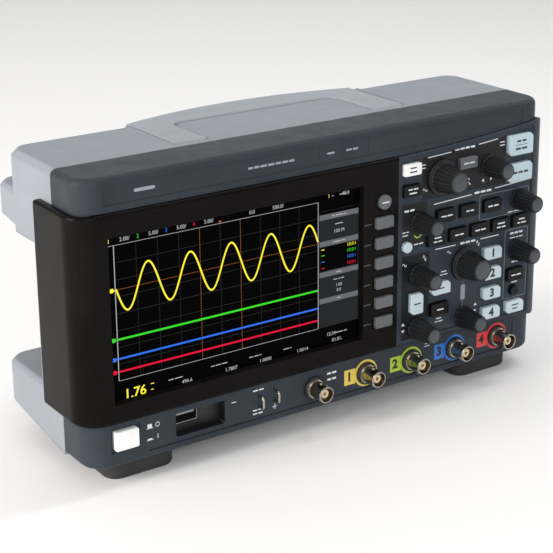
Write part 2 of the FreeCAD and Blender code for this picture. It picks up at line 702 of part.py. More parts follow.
def cover_mass(inset):
    """The cover's volume: upper block, two rear arms and the wall between."""
    radius = COVER_R - inset
    bevel = 0 if inset else 1
    back = DEPTH_BACK + 1
    top = cover_block(TOP_BACK, ARM_UNDER - 8, HEIGHT - inset, radius, inset, bevel * TOP_CHAMFER)
    arm = cover_block(DEPTH_BACK, ARM_UNDER - 12, BUMP_TOP - inset, radius, inset, bevel * ARM_CHAMFER)
    rise = ARM_SLOPE * (back - JOINT_Y + 2)
    arm_base = ARM_UNDER + inset + ARM_SLOPE
    under = side_prism([(back, 0, 0), (back, arm_base, 0), (JOINT_Y - 2, arm_base - rise, 0),
                        (JOINT_Y - 2, 0, 0)], -SIDE, SIDE)
    arm = arm.cut(under)
    wall = cover_block(BAY_Y, LOW_TOP - 10, BUMP_TOP - 8, BAY_R, inset, 0)
    low = cover_block(DEPTH_BACK, FRAME_BOTTOM - 5, LOW_TOP - inset, radius, inset, bevel * ARM_CHAMFER)
    drop = FRAME_BOTTOM + inset
    floor = side_prism([(JOINT_Y - 2, 0, 0), (back, 0, 0),
                        (back, drop + LOW_SLOPE * (back - JOINT_Y), 0), (JOINT_Y, drop, 0),
                        (JOINT_Y - 2, drop, 0)], -SIDE, SIDE)
    low = low.cut(floor)
    return join([top, arm, wall, low])


def low_under(y):
    """Height of the cover's underside at a depth."""
    return FRAME_BOTTOM + LOW_SLOPE * (y - JOINT_Y)


def handle_tray():
    """Material round the handle's pocket, inside the cover."""
    x = HANDLE_HALF + HANDLE_GAP + WALL
    y0 = HANDLE_TIP - HANDLE_GAP - WALL
    tray = box(-x, x, y0, TOP_BACK - 0.1, POCKET_FLOOR - WALL, HEIGHT - 0.1)
    inner = HANDLE_HALF - HANDLE_ARM - HANDLE_GAP - WALL
    core = box(-inner, inner, y0 + WALL, BAR_FRONT - ISLAND_GAP - WALL,
               POCKET_FLOOR - WALL - 1, HEIGHT - ISLAND_DROP - WALL)
    return tray.cut(core)


def handle_pocket():
    """Space for the folded handle, open at the rear."""
    x = HANDLE_HALF + HANDLE_GAP
    y0 = HANDLE_TIP - HANDLE_GAP
    pocket = box(-x, x, y0, DEPTH_BACK + 2, POCKET_FLOOR, HEIGHT + 1)
    inner = HANDLE_HALF - HANDLE_ARM - HANDLE_GAP
    island = plan_prism([(-inner, y0 - 1, 0), (inner, y0 - 1, 0),
                         (inner, BAR_FRONT - ISLAND_GAP, 7), (-inner, BAR_FRONT - ISLAND_GAP, 7)],
                        POCKET_FLOOR - 1, HEIGHT - ISLAND_DROP)
    return pocket.cut(island)


def pin_span(sign):
    """Ends of a handle pin in X, on the left (-1) or the right (+1)."""
    inner = HANDLE_HALF - HANDLE_ARM - HANDLE_GAP - PIN_SEAT
    outer = HANDLE_HALF + HANDLE_GAP + PIN_SEAT
    return sorted((sign * inner, sign * outer))


def rear_holes():
    """Openings of the rear wall."""
    y0 = BAY_Y - WALL - 1
    y1 = BAY_Y + 1
    holes = []
    for x, z, w, h in ((INLET_X, INLET_Z, INLET_W, INLET_H), (LAN_X, REAR_Z, *LAN_SIZE),
                       (USB_B_X, REAR_Z, *USB_B_SIZE), (LOCK_X, REAR_Z, *LOCK_SLOT)):
        a = w / 2 + GAP
        b = h / 2 + GAP
        holes.append(box(x - a, x + a, y0, y1, z - b, z + b))
    holes.append(rod(REAR_BNC_X, REAR_Z, BNC_HOLE_R, y0, y1))
    first = -VENT_PITCH * (VENTS - 1) / 2
    for i in range(VENTS):
        x = first + i * VENT_PITCH
        holes.append(front_prism(rect(x - VENT_W / 2, x + VENT_W / 2, VENT_Z, VENT_Z + VENT_H, 1.0), y0, y1))
    for x, z in screw_places():
        holes.append(rod(x, z, SCREW_R + GAP, y0, y1))
    return holes


def rear_cover():
    shell = cover_mass(0).cut(cover_mass(WALL))
    shell = shell.fuse(handle_tray()).cut(handle_pocket())
    pins = [rod_x(PIVOT_Y, PIVOT_Z, PIN_R, *pin_span(s)) for s in (-1, 1)]
    return shell.cut(pins + rear_holes()).removeSplitter()


def handle():
    """Folding handle: two arms with round front ends and a bowed bar."""
    half = HANDLE_HALF
    inner = half - HANDLE_ARM
    z0 = HEIGHT - HANDLE_T
    edges = [
        Part.makeLine(Vec(-half, PIVOT_Y, z0), Vec(-half, BAR_ENDS, z0)),
        Part.Arc(Vec(-half, BAR_ENDS, z0), Vec(0, DEPTH_BACK, z0), Vec(half, BAR_ENDS, z0)).toShape(),
        Part.makeLine(Vec(half, BAR_ENDS, z0), Vec(half, PIVOT_Y, z0)),
        Part.makeLine(Vec(half, PIVOT_Y, z0), Vec(-half, PIVOT_Y, z0)),
    ]
    slab = Part.Face(Part.Wire(edges)).extrude(Vec(0, 0, HANDLE_T))
    hollow = plan_prism([(-inner, PIVOT_Y - 1, 0), (inner, PIVOT_Y - 1, 0),
                         (inner, BAR_FRONT, 8), (-inner, BAR_FRONT, 8)], z0 - 1, HEIGHT + 1)
    slab = slab.cut(hollow)
    top = edges_on(slab, lambda p: near(p.z, HEIGHT) and p.y > PIVOT_Y + 0.1)
    top += edges_on(slab, lambda p: near(p.z, HEIGHT) and (near(abs(p.x), half) or near(abs(p.x), inner)))
    unique = {e.hashCode(): e for e in top}
    slab = slab.makeFillet(HANDLE_EDGE, list(unique.values()))
    ends = []
    for sign in (-1, 1):
        x0, x1 = sorted((sign * inner, sign * half))
        ends.append(rod_x(PIVOT_Y, PIVOT_Z, HANDLE_T / 2, x0, x1))
    whole = join([slab] + ends)
    bores = [rod_x(PIVOT_Y, PIVOT_Z, PIN_R + FIT, *pin_span(s)) for s in (-1, 1)]
    return whole.cut(bores)


def handle_pins():
    return Part.Compound([rod_x(PIVOT_Y, PIVOT_Z, PIN_R, *pin_span(s)) for s in (-1, 1)])


# --------------------------------------------------------------------- feet
def front_foot(x):
    """Foot under the frame with a slot for the tilt leg's pivot."""
    y1 = FOOT_Y + FOOT_D
    a = FOOT_W / 2
    block = plan_prism([(x - a, FOOT_Y, FOOT_R), (x + a, FOOT_Y, FOOT_R), (x + a, y1, 2),
                        (x - a, y1, 2)], 0, FRAME_BOTTOM - GAP)
    base = edges_on(block, lambda p: near(p.z, 0))
    block = block.makeFillet(FOOT_TAPER * 0.8, base)
    pivot = leg_pivot_y()
    half = LEG_W / 2 + LEG_SLOT_GAP
    slot = box(x - half, x + half, pivot - LEG_T / 2 - LEG_SLOT_GAP - 1.5, y1 + 1, -1,
               LEG_Z + LEG_T / 2 + LEG_SLOT_GAP)
    block = block.cut(slot)
    pins = []
    for sign in (-1, 1):
        x0, x1 = sorted((x + sign * (half + 1), x + sign * (half - LEG_STUB)))
        pins.append(rod_x(pivot, LEG_Z, LEG_PIVOT_R, x0, x1))
    return join([block] + pins)


def leg_pivot_y():
    return FOOT_Y + FOOT_D - LEG_PIVOT_IN


def rear_foot(x):
    y1 = DEPTH_BACK - REAR_FOOT_BACK
    y0 = y1 - REAR_FOOT_D
    a = REAR_FOOT_W / 2
    r = REAR_FOOT_R
    block = plan_prism([(x - a, y0, r), (x + a, y0, r), (x + a, y1, r), (x - a, y1, r)],
                       0, low_under(y1) + 5)
    block = block.makeFillet(1.2, edges_on(block, lambda p: near(p.z, 0)))
    above = side_prism([(y0 - 1, low_under(y0 - 1), 0), (y1 + 1, low_under(y1 + 1), 0),
                        (y1 + 1, low_under(y1) + 9, 0), (y0 - 1, low_under(y1) + 9, 0)],
                       x - a - 1, x + a + 1)
    return block.cut(above)


def foot_places():
    return [-SIDE + FOOT_IN, SIDE - FOOT_IN]


def feet():
    return Part.Compound([front_foot(x) for x in foot_places()] + [rear_foot(x) for x in foot_places()])


def tilt_leg(x):
    """Leg folded back under the case; it swings down about its front end."""
    pivot = leg_pivot_y()
    half = LEG_W / 2
    z0 = LEG_Z - LEG_T / 2
    plate = plan_prism([(x - half, pivot, 0), (x + half, pivot, 0),
                        (x + half - LEG_TAPER, pivot + LEG_L, LEG_TAPER),
                        (x - half + LEG_TAPER, pivot + LEG_L, LEG_TAPER)], z0, z0 + LEG_T)
    end = rod_x(pivot, LEG_Z, LEG_T / 2, x - half, x + half)
    leg = join([plate, end])
    cuts = []
    for sign in (-1, 1):
        x0, x1 = sorted((x + sign * (half + 1), x + sign * (half - LEG_STUB + LEG_SLOT_GAP - 0.2)))
        cuts.append(rod_x(pivot, LEG_Z, LEG_PIVOT_R + FIT, x0, x1))
    return leg.cut(cuts)


# ------------------------------------------------------------------ sockets
def bnc(x, z, tip_y, face_y, end_y, body_y, turn):
    """Socket along Y: shell with lugs, insulator, contact and rear block.

    The tip faces -Y; turn = 180 makes it face +Y about the same face.
    """
    shell = rod(x, z, BNC_R, tip_y, face_y + 3)
    shell = shell.makeChamfer(0.35, edges_on(shell, lambda p: near(p.y, tip_y)))
    collar = rod(x, z, BNC_COLLAR_R, face_y - BNC_COLLAR, face_y + 1.2)
    flange = rod(x, z, BNC_FLANGE_R, face_y + 0.9, face_y + WALL)
    lug_y = tip_y + BNC_LUG_BACK
    lugs = Part.makeCylinder(BNC_LUG_R, 2 * BNC_LUG_REACH, Vec(x, lug_y, z - BNC_LUG_REACH), Vec(0, 0, 1))
    half = BNC_BODY / 2
    block = box(x - half, x + half, body_y, end_y, z - half, z + half)
    neck = rod(x, z, BNC_R, face_y + 1, body_y + 1)
    bore = rod(x, z, BNC_BORE_R, tip_y - 1, tip_y + BNC_DEEP)
    body = join([shell, collar, flange, lugs, neck, block]).cut(bore)
    core = rod(x, z, BNC_CORE_R, tip_y + BNC_CORE_BACK, tip_y + BNC_DEEP)
    hole = rod(x, z, BNC_PIN_R, tip_y + BNC_CORE_BACK - 1, tip_y + BNC_DEEP - 2)
    core = core.cut(hole)
    pin = rod(x, z, BNC_PIN_R, tip_y + BNC_CORE_BACK + 0.6, tip_y + BNC_DEEP - 2)
    pin = pin.cut(rod(x, z, BNC_PIN_R * 0.6, tip_y, tip_y + BNC_DEEP - 3))
    solids = [body, core, pin]
    if turn:
        for s in solids:
            s.rotate(Vec(x, face_y, z), Vec(0, 0, 1), 180)
    return solids


def bnc_connectors():
    solids = []
    for x in bnc_places():
        solids += bnc(x, BNC_Z, -BNC_OUT, FRAME_FACE, MAIN_Y - 0.1, FRAME_FACE + WALL + 1, 0)
    reach = FRAME_FACE + BNC_OUT
    inside = BAY_Y - (CHASSIS_Y + CHASSIS_T + 1)
    solids += bnc(REAR_BNC_X, REAR_Z, BAY_Y - reach, BAY_Y, BAY_Y + inside, BAY_Y + WALL + 1, 180)
    return Part.Compound(solids)


def usb_host_port():
    """Sheet-metal shell and tongue of the USB socket."""
    x0, x1, z0, z1 = usb_port_box()
    y0 = FRAME_FACE + USB_DEEP + GAP
    y1 = y0 + USB_PORT_L
    s = USB_SHEET
    shell = box(x0, x1, y0, y1, z0, z1).cut(box(x0 + s, x1 - s, y0 - 1, y1 - s, z0 + s, z1 - s))
    tongue = box(x0 + 1.4, x1 - 1.4, y0 + 1, y1 - s, z1 - s - 2.4, z1 - s - 0.5)
    legs = box(x0 + 1, x1 - 1, y1, MAIN_Y - 0.1, z0 + 1, z1 - 1)
    return Part.Compound([shell.fuse(legs).removeSplitter(), tongue])


def probe_terminals():
    """Two wire loops for the probe's tip and its earth clip."""
    loops = []
    for x, z in terminal_places():
        half = TERMINAL_TALL / 2
        r = TERMINAL_R
        y1 = FRAME_FACE + WALL + 2
        tip = FRAME_FACE - TERMINAL_OUT
        bend = TERMINAL_BEND
        path = Part.Wire([
            Part.makeLine(Vec(x, y1, z - half), Vec(x, tip + bend, z - half)),
            Part.Arc(Vec(x, tip + bend, z - half),
                     Vec(x, tip + bend * (1 - math.sqrt(0.5)), z - half + bend * (1 - math.sqrt(0.5))),
                     Vec(x, tip, z - half + bend)).toShape(),
            Part.makeLine(Vec(x, tip, z - half + bend), Vec(x, tip, z + half - bend)),
            Part.Arc(Vec(x, tip, z + half - bend),
                     Vec(x, tip + bend * (1 - math.sqrt(0.5)), z + half - bend * (1 - math.sqrt(0.5))),
                     Vec(x, tip + bend, z + half)).toShape(),
            Part.makeLine(Vec(x, tip + bend, z + half), Vec(x, y1, z + half)),
        ])
        section = Part.Wire([Part.makeCircle(r, Vec(x, y1, z - half), Vec(0, 1, 0))])
        loops.append(path.makePipeShell([section], True, False))
    return Part.Compound(loops)


def mains_inlet():
    """Three-blade inlet in the rear wall."""
    x, z = INLET_X, INLET_Z
    a = INLET_W / 2
    b = INLET_H / 2
    f = INLET_FLANGE
    y1 = BAY_Y + INLET_FLANGE_T
    body = box(x - a, x + a, BAY_Y - INLET_L, BAY_Y + 0.5, z - b, z + b)
    flange = front_prism(rect(x - a - f, x + a + f, z - b - f, z + b + f, 2.0), BAY_Y + 0.05, y1)
    wall = INLET_WALL
    mouth = front_prism([(x - a + wall, z - b + wall, 1.5), (x + a - wall, z - b + wall, 1.5),
                         (x + a - wall, z + b - wall, 4.0), (x - a + wall, z + b - wall, 4.0)],
                        y1 - INLET_DEEP, y1 + 1)
    housing = join([body, flange]).cut(mouth)
    w, h, length = BLADE
    solids = [housing]
    for dx, dz in ((-BLADE_GAP, -2.0), (0.0, 2.0), (BLADE_GAP, -2.0)):
        y0 = y1 - INLET_DEEP
        solids.append(box(x + dx - w / 2, x + dx + w / 2, y0, y0 + length, z + dz - h / 2, z + dz + h / 2))
    return Part.Compound(solids)


# ------------------------------------------------------------------ insides
def lcd_panel():
    m = LCD_MARGIN
    y0 = SHELL_T + LCD_GAP
    glass = box(SCREEN_X0 - m, SCREEN_X1 + m, y0, y0 + 1.6, SCREEN_Z - m, SCREEN_Z1 + m)
    frame = box(SCREEN_X0 - m - 0.4, SCREEN_X1 + m + 0.4, y0 + 1.6, y0 + LCD_T, SCREEN_Z - m - 0.4,
                SCREEN_Z1 + m + 0.4)
    return Part.Compound([glass, frame])


def keypad_board():
    """Board with a contact dome under each key and an encoder per knob."""
    x0 = SPLIT_X - SOFTKEY_IN - SOFTKEY_W / 2
    x1 = CASE_SIDE - FRAME_R
    board = box(x0, x1, BOARD_Y, BOARD_Y + BOARD_T, BEZEL_BOTTOM + 1.5, BEZEL_TOP - 0.5)
    parts = [board]
    for _, x, z, _, _, _ in panel_key_places() + bezel_key_places():
        parts.append(rod(x, z, 2.6, BOARD_Y - DOME_H, BOARD_Y))
    half = ENCODER / 2
    for _, u, z, _ in KNOBS:
        x = SPLIT_X + u
        body = box(x - half, x + half, SHELL_T + 1.2, BOARD_Y, z - half, z + half)
        bush = rod(x, z, BUSH_R, BUSH_END, SHELL_T + 2)
        parts.append(join([body, bush]).cut(rod(x, z, SHAFT_R + FIT, 0, BUSH_END + SHAFT_IN + 1)))
    return Part.Compound(parts)


def main_board():
    """Acquisition board with shield cans, heat sink and rear jacks."""
    z0 = FRAME_BOTTOM + WALL + 4
    z1 = BEZEL_TOP - 6
    side = CASE_SIDE - WALL - 6
    board = box(-side, side, MAIN_Y, MAIN_Y + BOARD_T, z0, z1)
    parts = [board]
    for x in bnc_places()[1:]:
        parts.append(box(x - CAN_W / 2, x + CAN_W / 2, MAIN_Y - CAN_OUT, MAIN_Y,
                         BNC_Z + CAN_LIFT, BNC_Z + CAN_LIFT + CAN_H))
    x0 = SINK_X
    z0 = SINK_Z
    z1 = z0 + SINK_SIZE
    fins = [box(x0, x0 + SINK_SIZE, MAIN_Y - SINK_BASE, MAIN_Y, z0, z1)]
    for i in range(FINS):
        x = x0 + i * SINK_SIZE / FINS
        fins.append(box(x, x + FIN_T, MAIN_Y - SINK_OUT, MAIN_Y - SINK_BASE + 1, z0, z1))
    parts.append(join(fins))
    for x, z, a in CHIPS:
        parts.append(box(x - a / 2, x + a / 2, MAIN_Y - CHIP_T, MAIN_Y, z - a / 2, z + a / 2))
    switch_x = -SIDE + POWER_IN
    half = SWITCH / 2
    parts.append(box(switch_x - half, switch_x + half, MAIN_Y - SWITCH_OUT + GAP, MAIN_Y,
                     POWER_Z - half, POWER_Z + half))
    parts += rear_jacks()
    return Part.Compound(parts)


def rear_jacks():
    """Network and USB device jacks on spacers behind the board."""
    jacks = []
    y0 = MAIN_Y + BOARD_T
    for x, (w, h), mouth_w, mouth_h, deep in ((LAN_X, LAN_SIZE, 11.8, 9.0, 13.0),
                                              (USB_B_X, USB_B_SIZE, 8.6, 7.8, 9.0)):
        body = box(x - w / 2, x + w / 2, y0, BAY_Y + 0.4, REAR_Z - h / 2, REAR_Z + h / 2)
        mouth = box(x - mouth_w / 2, x + mouth_w / 2, BAY_Y - deep, BAY_Y + 1,
                    REAR_Z - mouth_h / 2, REAR_Z + mouth_h / 2)
        jacks.append(body.cut(mouth))
    y1 = BAY_Y - 9.0
    jacks.append(box(USB_B_X - 2.8, USB_B_X + 2.8, y1, BAY_Y - 1, REAR_Z - 1.6, REAR_Z + 1.6))
    return jacks


def screw_places():
    x = CASE_SIDE - SCREW_IN
    return [(s * x, z) for s in (-1, 1) for z in SCREW_Z]


def chassis():
    """Screening plate behind the main board, with posts for the screws."""
    side = CASE_SIDE - WALL - 2
    z0 = FRAME_BOTTOM + WALL + 3
    z1 = POCKET_FLOOR - WALL - 3
    y1 = CHASSIS_Y + CHASSIS_T
    plate = box(-side, side, CHASSIS_Y, y1, z0, z1)
    lip = box(-side, side, CHASSIS_Y, y1 + 8, z1 - CHASSIS_T, z1)
    posts = []
    bores = []
    for x, z in screw_places():
        posts.append(rod(x, z, STANDOFF_R, CHASSIS_Y, BAY_Y - WALL - 0.1))
        bores.append(rod(x, z, SCREW_R, BAY_Y - WALL - SCREW_L, BAY_Y))
    for x, (w, h) in ((LAN_X, LAN_SIZE), (USB_B_X, USB_B_SIZE)):
        bores.append(box(x - w / 2 - 1, x + w / 2 + 1, CHASSIS_Y - 1, y1 + 1,
                         REAR_Z - h / 2 - 1, REAR_Z + h / 2 + 1))
    return join([plate, lip] + posts).cut(bores)


def power_supply():
    """Supply board behind the chassis: transformer, capacitors, heat sinks."""
    y0 = CHASSIS_Y + CHASSIS_T + 3
    y1 = y0 + BOARD_T
    deep = BAY_Y - WALL - 2
    parts = [box(-70, 40, y0, y1, 50, 122)]
    parts.append(box(-30, -4, y1, deep, 70, 98))
    parts.append(box(-34, 0, y1 + 3, deep - 3, 76, 92).cut(box(-30, -4, y1, deep, 70, 98)))
    for x, z in ((-54, 104), (-54, 84), (-36, 110)):
        parts.append(rod(x, z, 7.0, y1, deep - 1))
    for x in (12, 24):
        parts.append(rod(x, 108, 4.5, y1, deep - 4))
    parts.append(box(8, 10, y1, deep - 1, 58, 96))
    parts.append(box(-60, -34, y1, y1 + 9, 56, 70))
    return Part.Compound(parts)


def case_screws():
    screws = []
    for x, z in screw_places():
        shank = rod(x, z, SCREW_R, BAY_Y - WALL - SCREW_L + 1, BAY_Y + 0.5)
        head = rod(x, z, SCREW_HEAD_R, BAY_Y + 0.05, BAY_Y + SCREW_HEAD_T)
        head = head.makeFillet(0.6, edges_on(head, lambda p: near(p.y, BAY_Y + SCREW_HEAD_T)))
        slot = box(x - 0.5, x + 0.5, BAY_Y + 1.0, BAY_Y + 4, z - 2, z + 2)
        cross = box(x - 2, x + 2, BAY_Y + 1.0, BAY_Y + 4, z - 0.5, z + 0.5)
        screws.append(join([shank, head]).cut([slot, cross]))
    return Part.Compound(screws)


# --------------------------------------------------------------------- build
def save(name, shape):
    shape.translate(Vec(0, Y_SHIFT, 0))
    shape.exportStep("parts/%s.step" % name)
    kinds = "%d solid(s)" % len(shape.Solids)
    print("%-26s %-12s %9.0f mm3 %s" % (name, kinds, shape.Volume, "" if shape.isValid() else "INVALID"))


def main():
    os.makedirs("parts", exist_ok=True)
    save("front_frame", front_frame())
    save("display_bezel", display_bezel())
    save("control_panel", control_panel())
    save("rear_cover", rear_cover())
    save("handle", handle())
    save("handle_pins", handle_pins())
    save("feet", feet())
    for name, x in zip(("tilt_leg_left", "tilt_leg_right"), foot_places()):
        save(name, tilt_leg(x))
    for name, x, z, w, h, kind in panel_key_places() + bezel_key_places():
        save(name, at(key(w, h, kind), x, z))
    save("power_button", power_button())
    for name, u, z, size in KNOBS:
        save(name, at(knob(KNOB_SIZES[size]), SPLIT_X + u, z))
    save("bnc_connectors", bnc_connectors())
    save("usb_host_port", usb_host_port())
    save("probe_terminals", probe_terminals())
    save("mains_inlet", mains_inlet())
    save("lcd_panel", lcd_panel())
    save("keypad_board", keypad_board())
    save("main_board", main_board())
    save("chassis", chassis())
    save("power_supply", power_supply())
    save("case_screws", case_screws())


if __name__ == "__main__":
    main()
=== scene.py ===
import json
import math

import bmesh
import bpy
from mathutils import Matrix, Vector


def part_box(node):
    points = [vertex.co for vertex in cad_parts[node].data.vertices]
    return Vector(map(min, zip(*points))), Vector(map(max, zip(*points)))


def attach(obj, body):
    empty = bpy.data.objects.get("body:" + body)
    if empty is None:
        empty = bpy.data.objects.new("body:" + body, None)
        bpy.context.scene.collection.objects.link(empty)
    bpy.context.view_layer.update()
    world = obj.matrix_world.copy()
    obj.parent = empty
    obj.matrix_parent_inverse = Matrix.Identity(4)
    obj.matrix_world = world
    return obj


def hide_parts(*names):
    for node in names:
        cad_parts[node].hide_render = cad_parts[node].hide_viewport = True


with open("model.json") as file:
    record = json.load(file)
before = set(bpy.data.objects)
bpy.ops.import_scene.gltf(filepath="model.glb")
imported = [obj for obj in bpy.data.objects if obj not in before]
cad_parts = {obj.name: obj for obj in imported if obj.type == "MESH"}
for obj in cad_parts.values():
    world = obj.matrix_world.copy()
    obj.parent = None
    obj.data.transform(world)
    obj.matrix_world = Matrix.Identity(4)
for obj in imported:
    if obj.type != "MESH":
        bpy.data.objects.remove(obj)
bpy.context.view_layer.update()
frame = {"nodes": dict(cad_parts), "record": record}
NODES = frame["nodes"]

# ------------------------------------------------------------ places, in mm
# Design frame of the instrument: X to the right, Y = 0 on the front face of
# the display bezel and going back, Z up from the feet.
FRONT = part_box("display_bezel")[0].y * 1000
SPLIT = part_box("control_panel")[0].x * 1000
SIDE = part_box("control_panel")[1].x * 1000
FACE_FRAME = 1.5          # front of the frame, behind the bezel's face
FACE_STRIP = 2.0          # front of the label strip
FACE_INLAY = 0.6          # front of the control panel's inlay
GLASS = 3.4               # front of the display's glass
REAR_FACE = 58.0          # rear wall, between the arms
INK = 0.03                # thickness of a layer of print
INK_GAP = 0.004           # kept free behind it


def P(x, y, z):
    """Point of the design frame in Blender's metres."""
    return Vector((x / 1000, (y + FRONT) / 1000, z / 1000))


def middle(node):
    """Centre of a node in the design frame, in X and Z."""
    lo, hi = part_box(node)
    return (lo.x + hi.x) * 500, (lo.z + hi.z) * 500


def width_of(node):
    lo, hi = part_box(node)
    return (hi.x - lo.x) * 1000


def front_y(node):
    """Front of a node, in the design frame."""
    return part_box(node)[0].y * 1000 - FRONT


def print_on(y):
    """Front and back of print that lies on a face."""
    return y - INK, y - INK_GAP


# ---------------------------------------------------------------- materials
def lin(r, g, b):
    """sRGB 0-255 to linear."""
    out = []
    for v in (r, g, b):
        v /= 255
        out.append(v / 12.92 if v <= 0.04045 else ((v + 0.055) / 1.055) ** 2.4)
    return (*out, 1.0)


def nodes_of(name):
    m = bpy.data.materials.new(name)
    m.use_nodes = True
    nt = m.node_tree
    return m, nt, nt.nodes["Principled BSDF"]


def noise(nt, coords, scale, detail=4.0, rough=0.55):
    n = nt.nodes.new("ShaderNodeTexNoise")
    n.inputs["Scale"].default_value = scale
    n.inputs["Detail"].default_value = detail
    n.inputs["Roughness"].default_value = rough
    nt.links.new(coords, n.inputs["Vector"])
    return n


def ramp(nt, value, lo, hi, out_lo, out_hi):
    r = nt.nodes.new("ShaderNodeMapRange")
    r.inputs["From Min"].default_value = lo
    r.inputs["From Max"].default_value = hi
    r.inputs["To Min"].default_value = out_lo
    r.inputs["To Max"].default_value = out_hi
    nt.links.new(value, r.inputs["Value"])
    return r.outputs["Result"]


def moulded(name, rgb, rough=0.45, metallic=0.0, coat=0.0, grain=1400, depth=0.012, tone=0.10,
            edge=0.3, wear_and_highlight=0.12, spec=0.5, stretch=(1, 1, 1), coat_rough=0.08):
    """Plastic, rubber or metal with its grain, uneven tone and gloss, and edges that are rounded and painted
    lighter: wear on most parts, and a painted highlight on the knobs' ribs. Depth of the grain and radius of
    the edge are in mm; grain is the scale of its noise."""
    m, nt, bsdf = nodes_of(name)
    coords = nt.nodes.new("ShaderNodeTexCoord").outputs["Object"]
    mapping = nt.nodes.new("ShaderNodeMapping")
    mapping.inputs["Scale"].default_value = stretch
    nt.links.new(coords, mapping.inputs["Vector"])
    place = mapping.outputs["Vector"]
    broad = noise(nt, place, 34, 3.0)
    fine = noise(nt, place, grain, 3.0, 0.6)
    mix = nt.nodes.new("ShaderNodeMix")
    mix.data_type = "RGBA"
    base = Vector(rgb[:3])
    mix.inputs["A"].default_value = (*(base * (1 - tone)), 1)
    mix.inputs["B"].default_value = (*(base * (1 + tone) + Vector((0.002, 0.002, 0.002))), 1)
    nt.links.new(ramp(nt, broad.outputs["Fac"], 0.3, 0.7, 0, 1), mix.inputs["Factor"])
    colour = mix.outputs["Result"]
    rounded = nt.nodes.new("ShaderNodeBevel")
    rounded.samples = 4
    rounded.inputs["Radius"].default_value = edge / 1000
    # painted lighter edges where the rounded normal turns from the true one: wear, and where the amount is
    # high, a painted highlight
    if wear_and_highlight:
        geo = nt.nodes.new("ShaderNodeNewGeometry")
        dot = nt.nodes.new("ShaderNodeVectorMath")
        dot.operation = "DOT_PRODUCT"
        nt.links.new(rounded.outputs["Normal"], dot.inputs[0])
        nt.links.new(geo.outputs["Normal"], dot.inputs[1])
        lighter_edges = nt.nodes.new("ShaderNodeMix")
        lighter_edges.data_type = "RGBA"
        light = base * 1.5 + Vector((0.03, 0.03, 0.032))
        lighter_edges.inputs["B"].default_value = (*light, 1)
        nt.links.new(colour, lighter_edges.inputs["A"])
        nt.links.new(ramp(nt, dot.outputs["Value"], 0.995, 0.86, 0, wear_and_highlight), lighter_edges.inputs["Factor"])
        colour = lighter_edges.outputs["Result"]
    nt.links.new(colour, bsdf.inputs["Base Color"])
    smear = noise(nt, place, 90, 5.0, 0.65)
    nt.links.new(ramp(nt, smear.outputs["Fac"], 0.3, 0.7, max(rough - 0.06, 0.03), rough + 0.06),
                 bsdf.inputs["Roughness"])
    bump = nt.nodes.new("ShaderNodeBump")
    bump.inputs["Strength"].default_value = 0.6
    bump.inputs["Distance"].default_value = depth / 1000
    nt.links.new(fine.outputs["Fac"], bump.inputs["Height"])
    nt.links.new(rounded.outputs["Normal"], bump.inputs["Normal"])
    nt.links.new(bump.outputs["Normal"], bsdf.inputs["Normal"])
    bsdf.inputs["Metallic"].default_value = metallic
    bsdf.inputs["Coat Weight"].default_value = coat
    bsdf.inputs["Coat Roughness"].default_value = coat_rough
    bsdf.inputs["Specular IOR Level"].default_value = spec
    return m


def printed(name, rgb, rough=0.5):
    """Screen-printed ink: slightly uneven in cover and gloss."""
    m, nt, bsdf = nodes_of(name)
    coords = nt.nodes.new("ShaderNodeTexCoord").outputs["Object"]
    n = noise(nt, coords, 1800, 2.0)
    mix = nt.nodes.new("ShaderNodeMix")
    mix.data_type = "RGBA"
    mix.inputs["A"].default_value = (*(Vector(rgb[:3]) * 0.88), 1)
    mix.inputs["B"].default_value = rgb
    nt.links.new(n.outputs["Fac"], mix.inputs["Factor"])
    nt.links.new(mix.outputs["Result"], bsdf.inputs["Base Color"])
    gloss = ramp(nt, n.outputs["Fac"], 0.3, 0.7, rough - 0.05, rough + 0.08)
    nt.links.new(gloss, bsdf.inputs["Roughness"])
    return m


def lit(name, rgb, strength):
    """Light of the display: colour with the faint rows of its pixels."""
    m, nt, bsdf = nodes_of(name)
    coords = nt.nodes.new("ShaderNodeTexCoord").outputs["Object"]
    wave = nt.nodes.new("ShaderNodeTexWave")
    wave.bands_direction = "Z"
    wave.inputs["Scale"].default_value = 900
    nt.links.new(coords, wave.inputs["Vector"])
    mix = nt.nodes.new("ShaderNodeMix")
    mix.data_type = "RGBA"
    mix.inputs["A"].default_value = (*(Vector(rgb[:3]) * 0.9), 1)
    mix.inputs["B"].default_value = rgb
    nt.links.new(wave.outputs["Fac"], mix.inputs["Factor"])
    nt.links.new(mix.outputs["Result"], bsdf.inputs["Emission Color"])
    bsdf.inputs["Emission Strength"].default_value = strength
    bsdf.inputs["Base Color"].default_value = (0, 0, 0, 1)
    bsdf.inputs["Roughness"].default_value = 0.4
    bsdf.inputs["Specular IOR Level"].default_value = 0.02
    return m


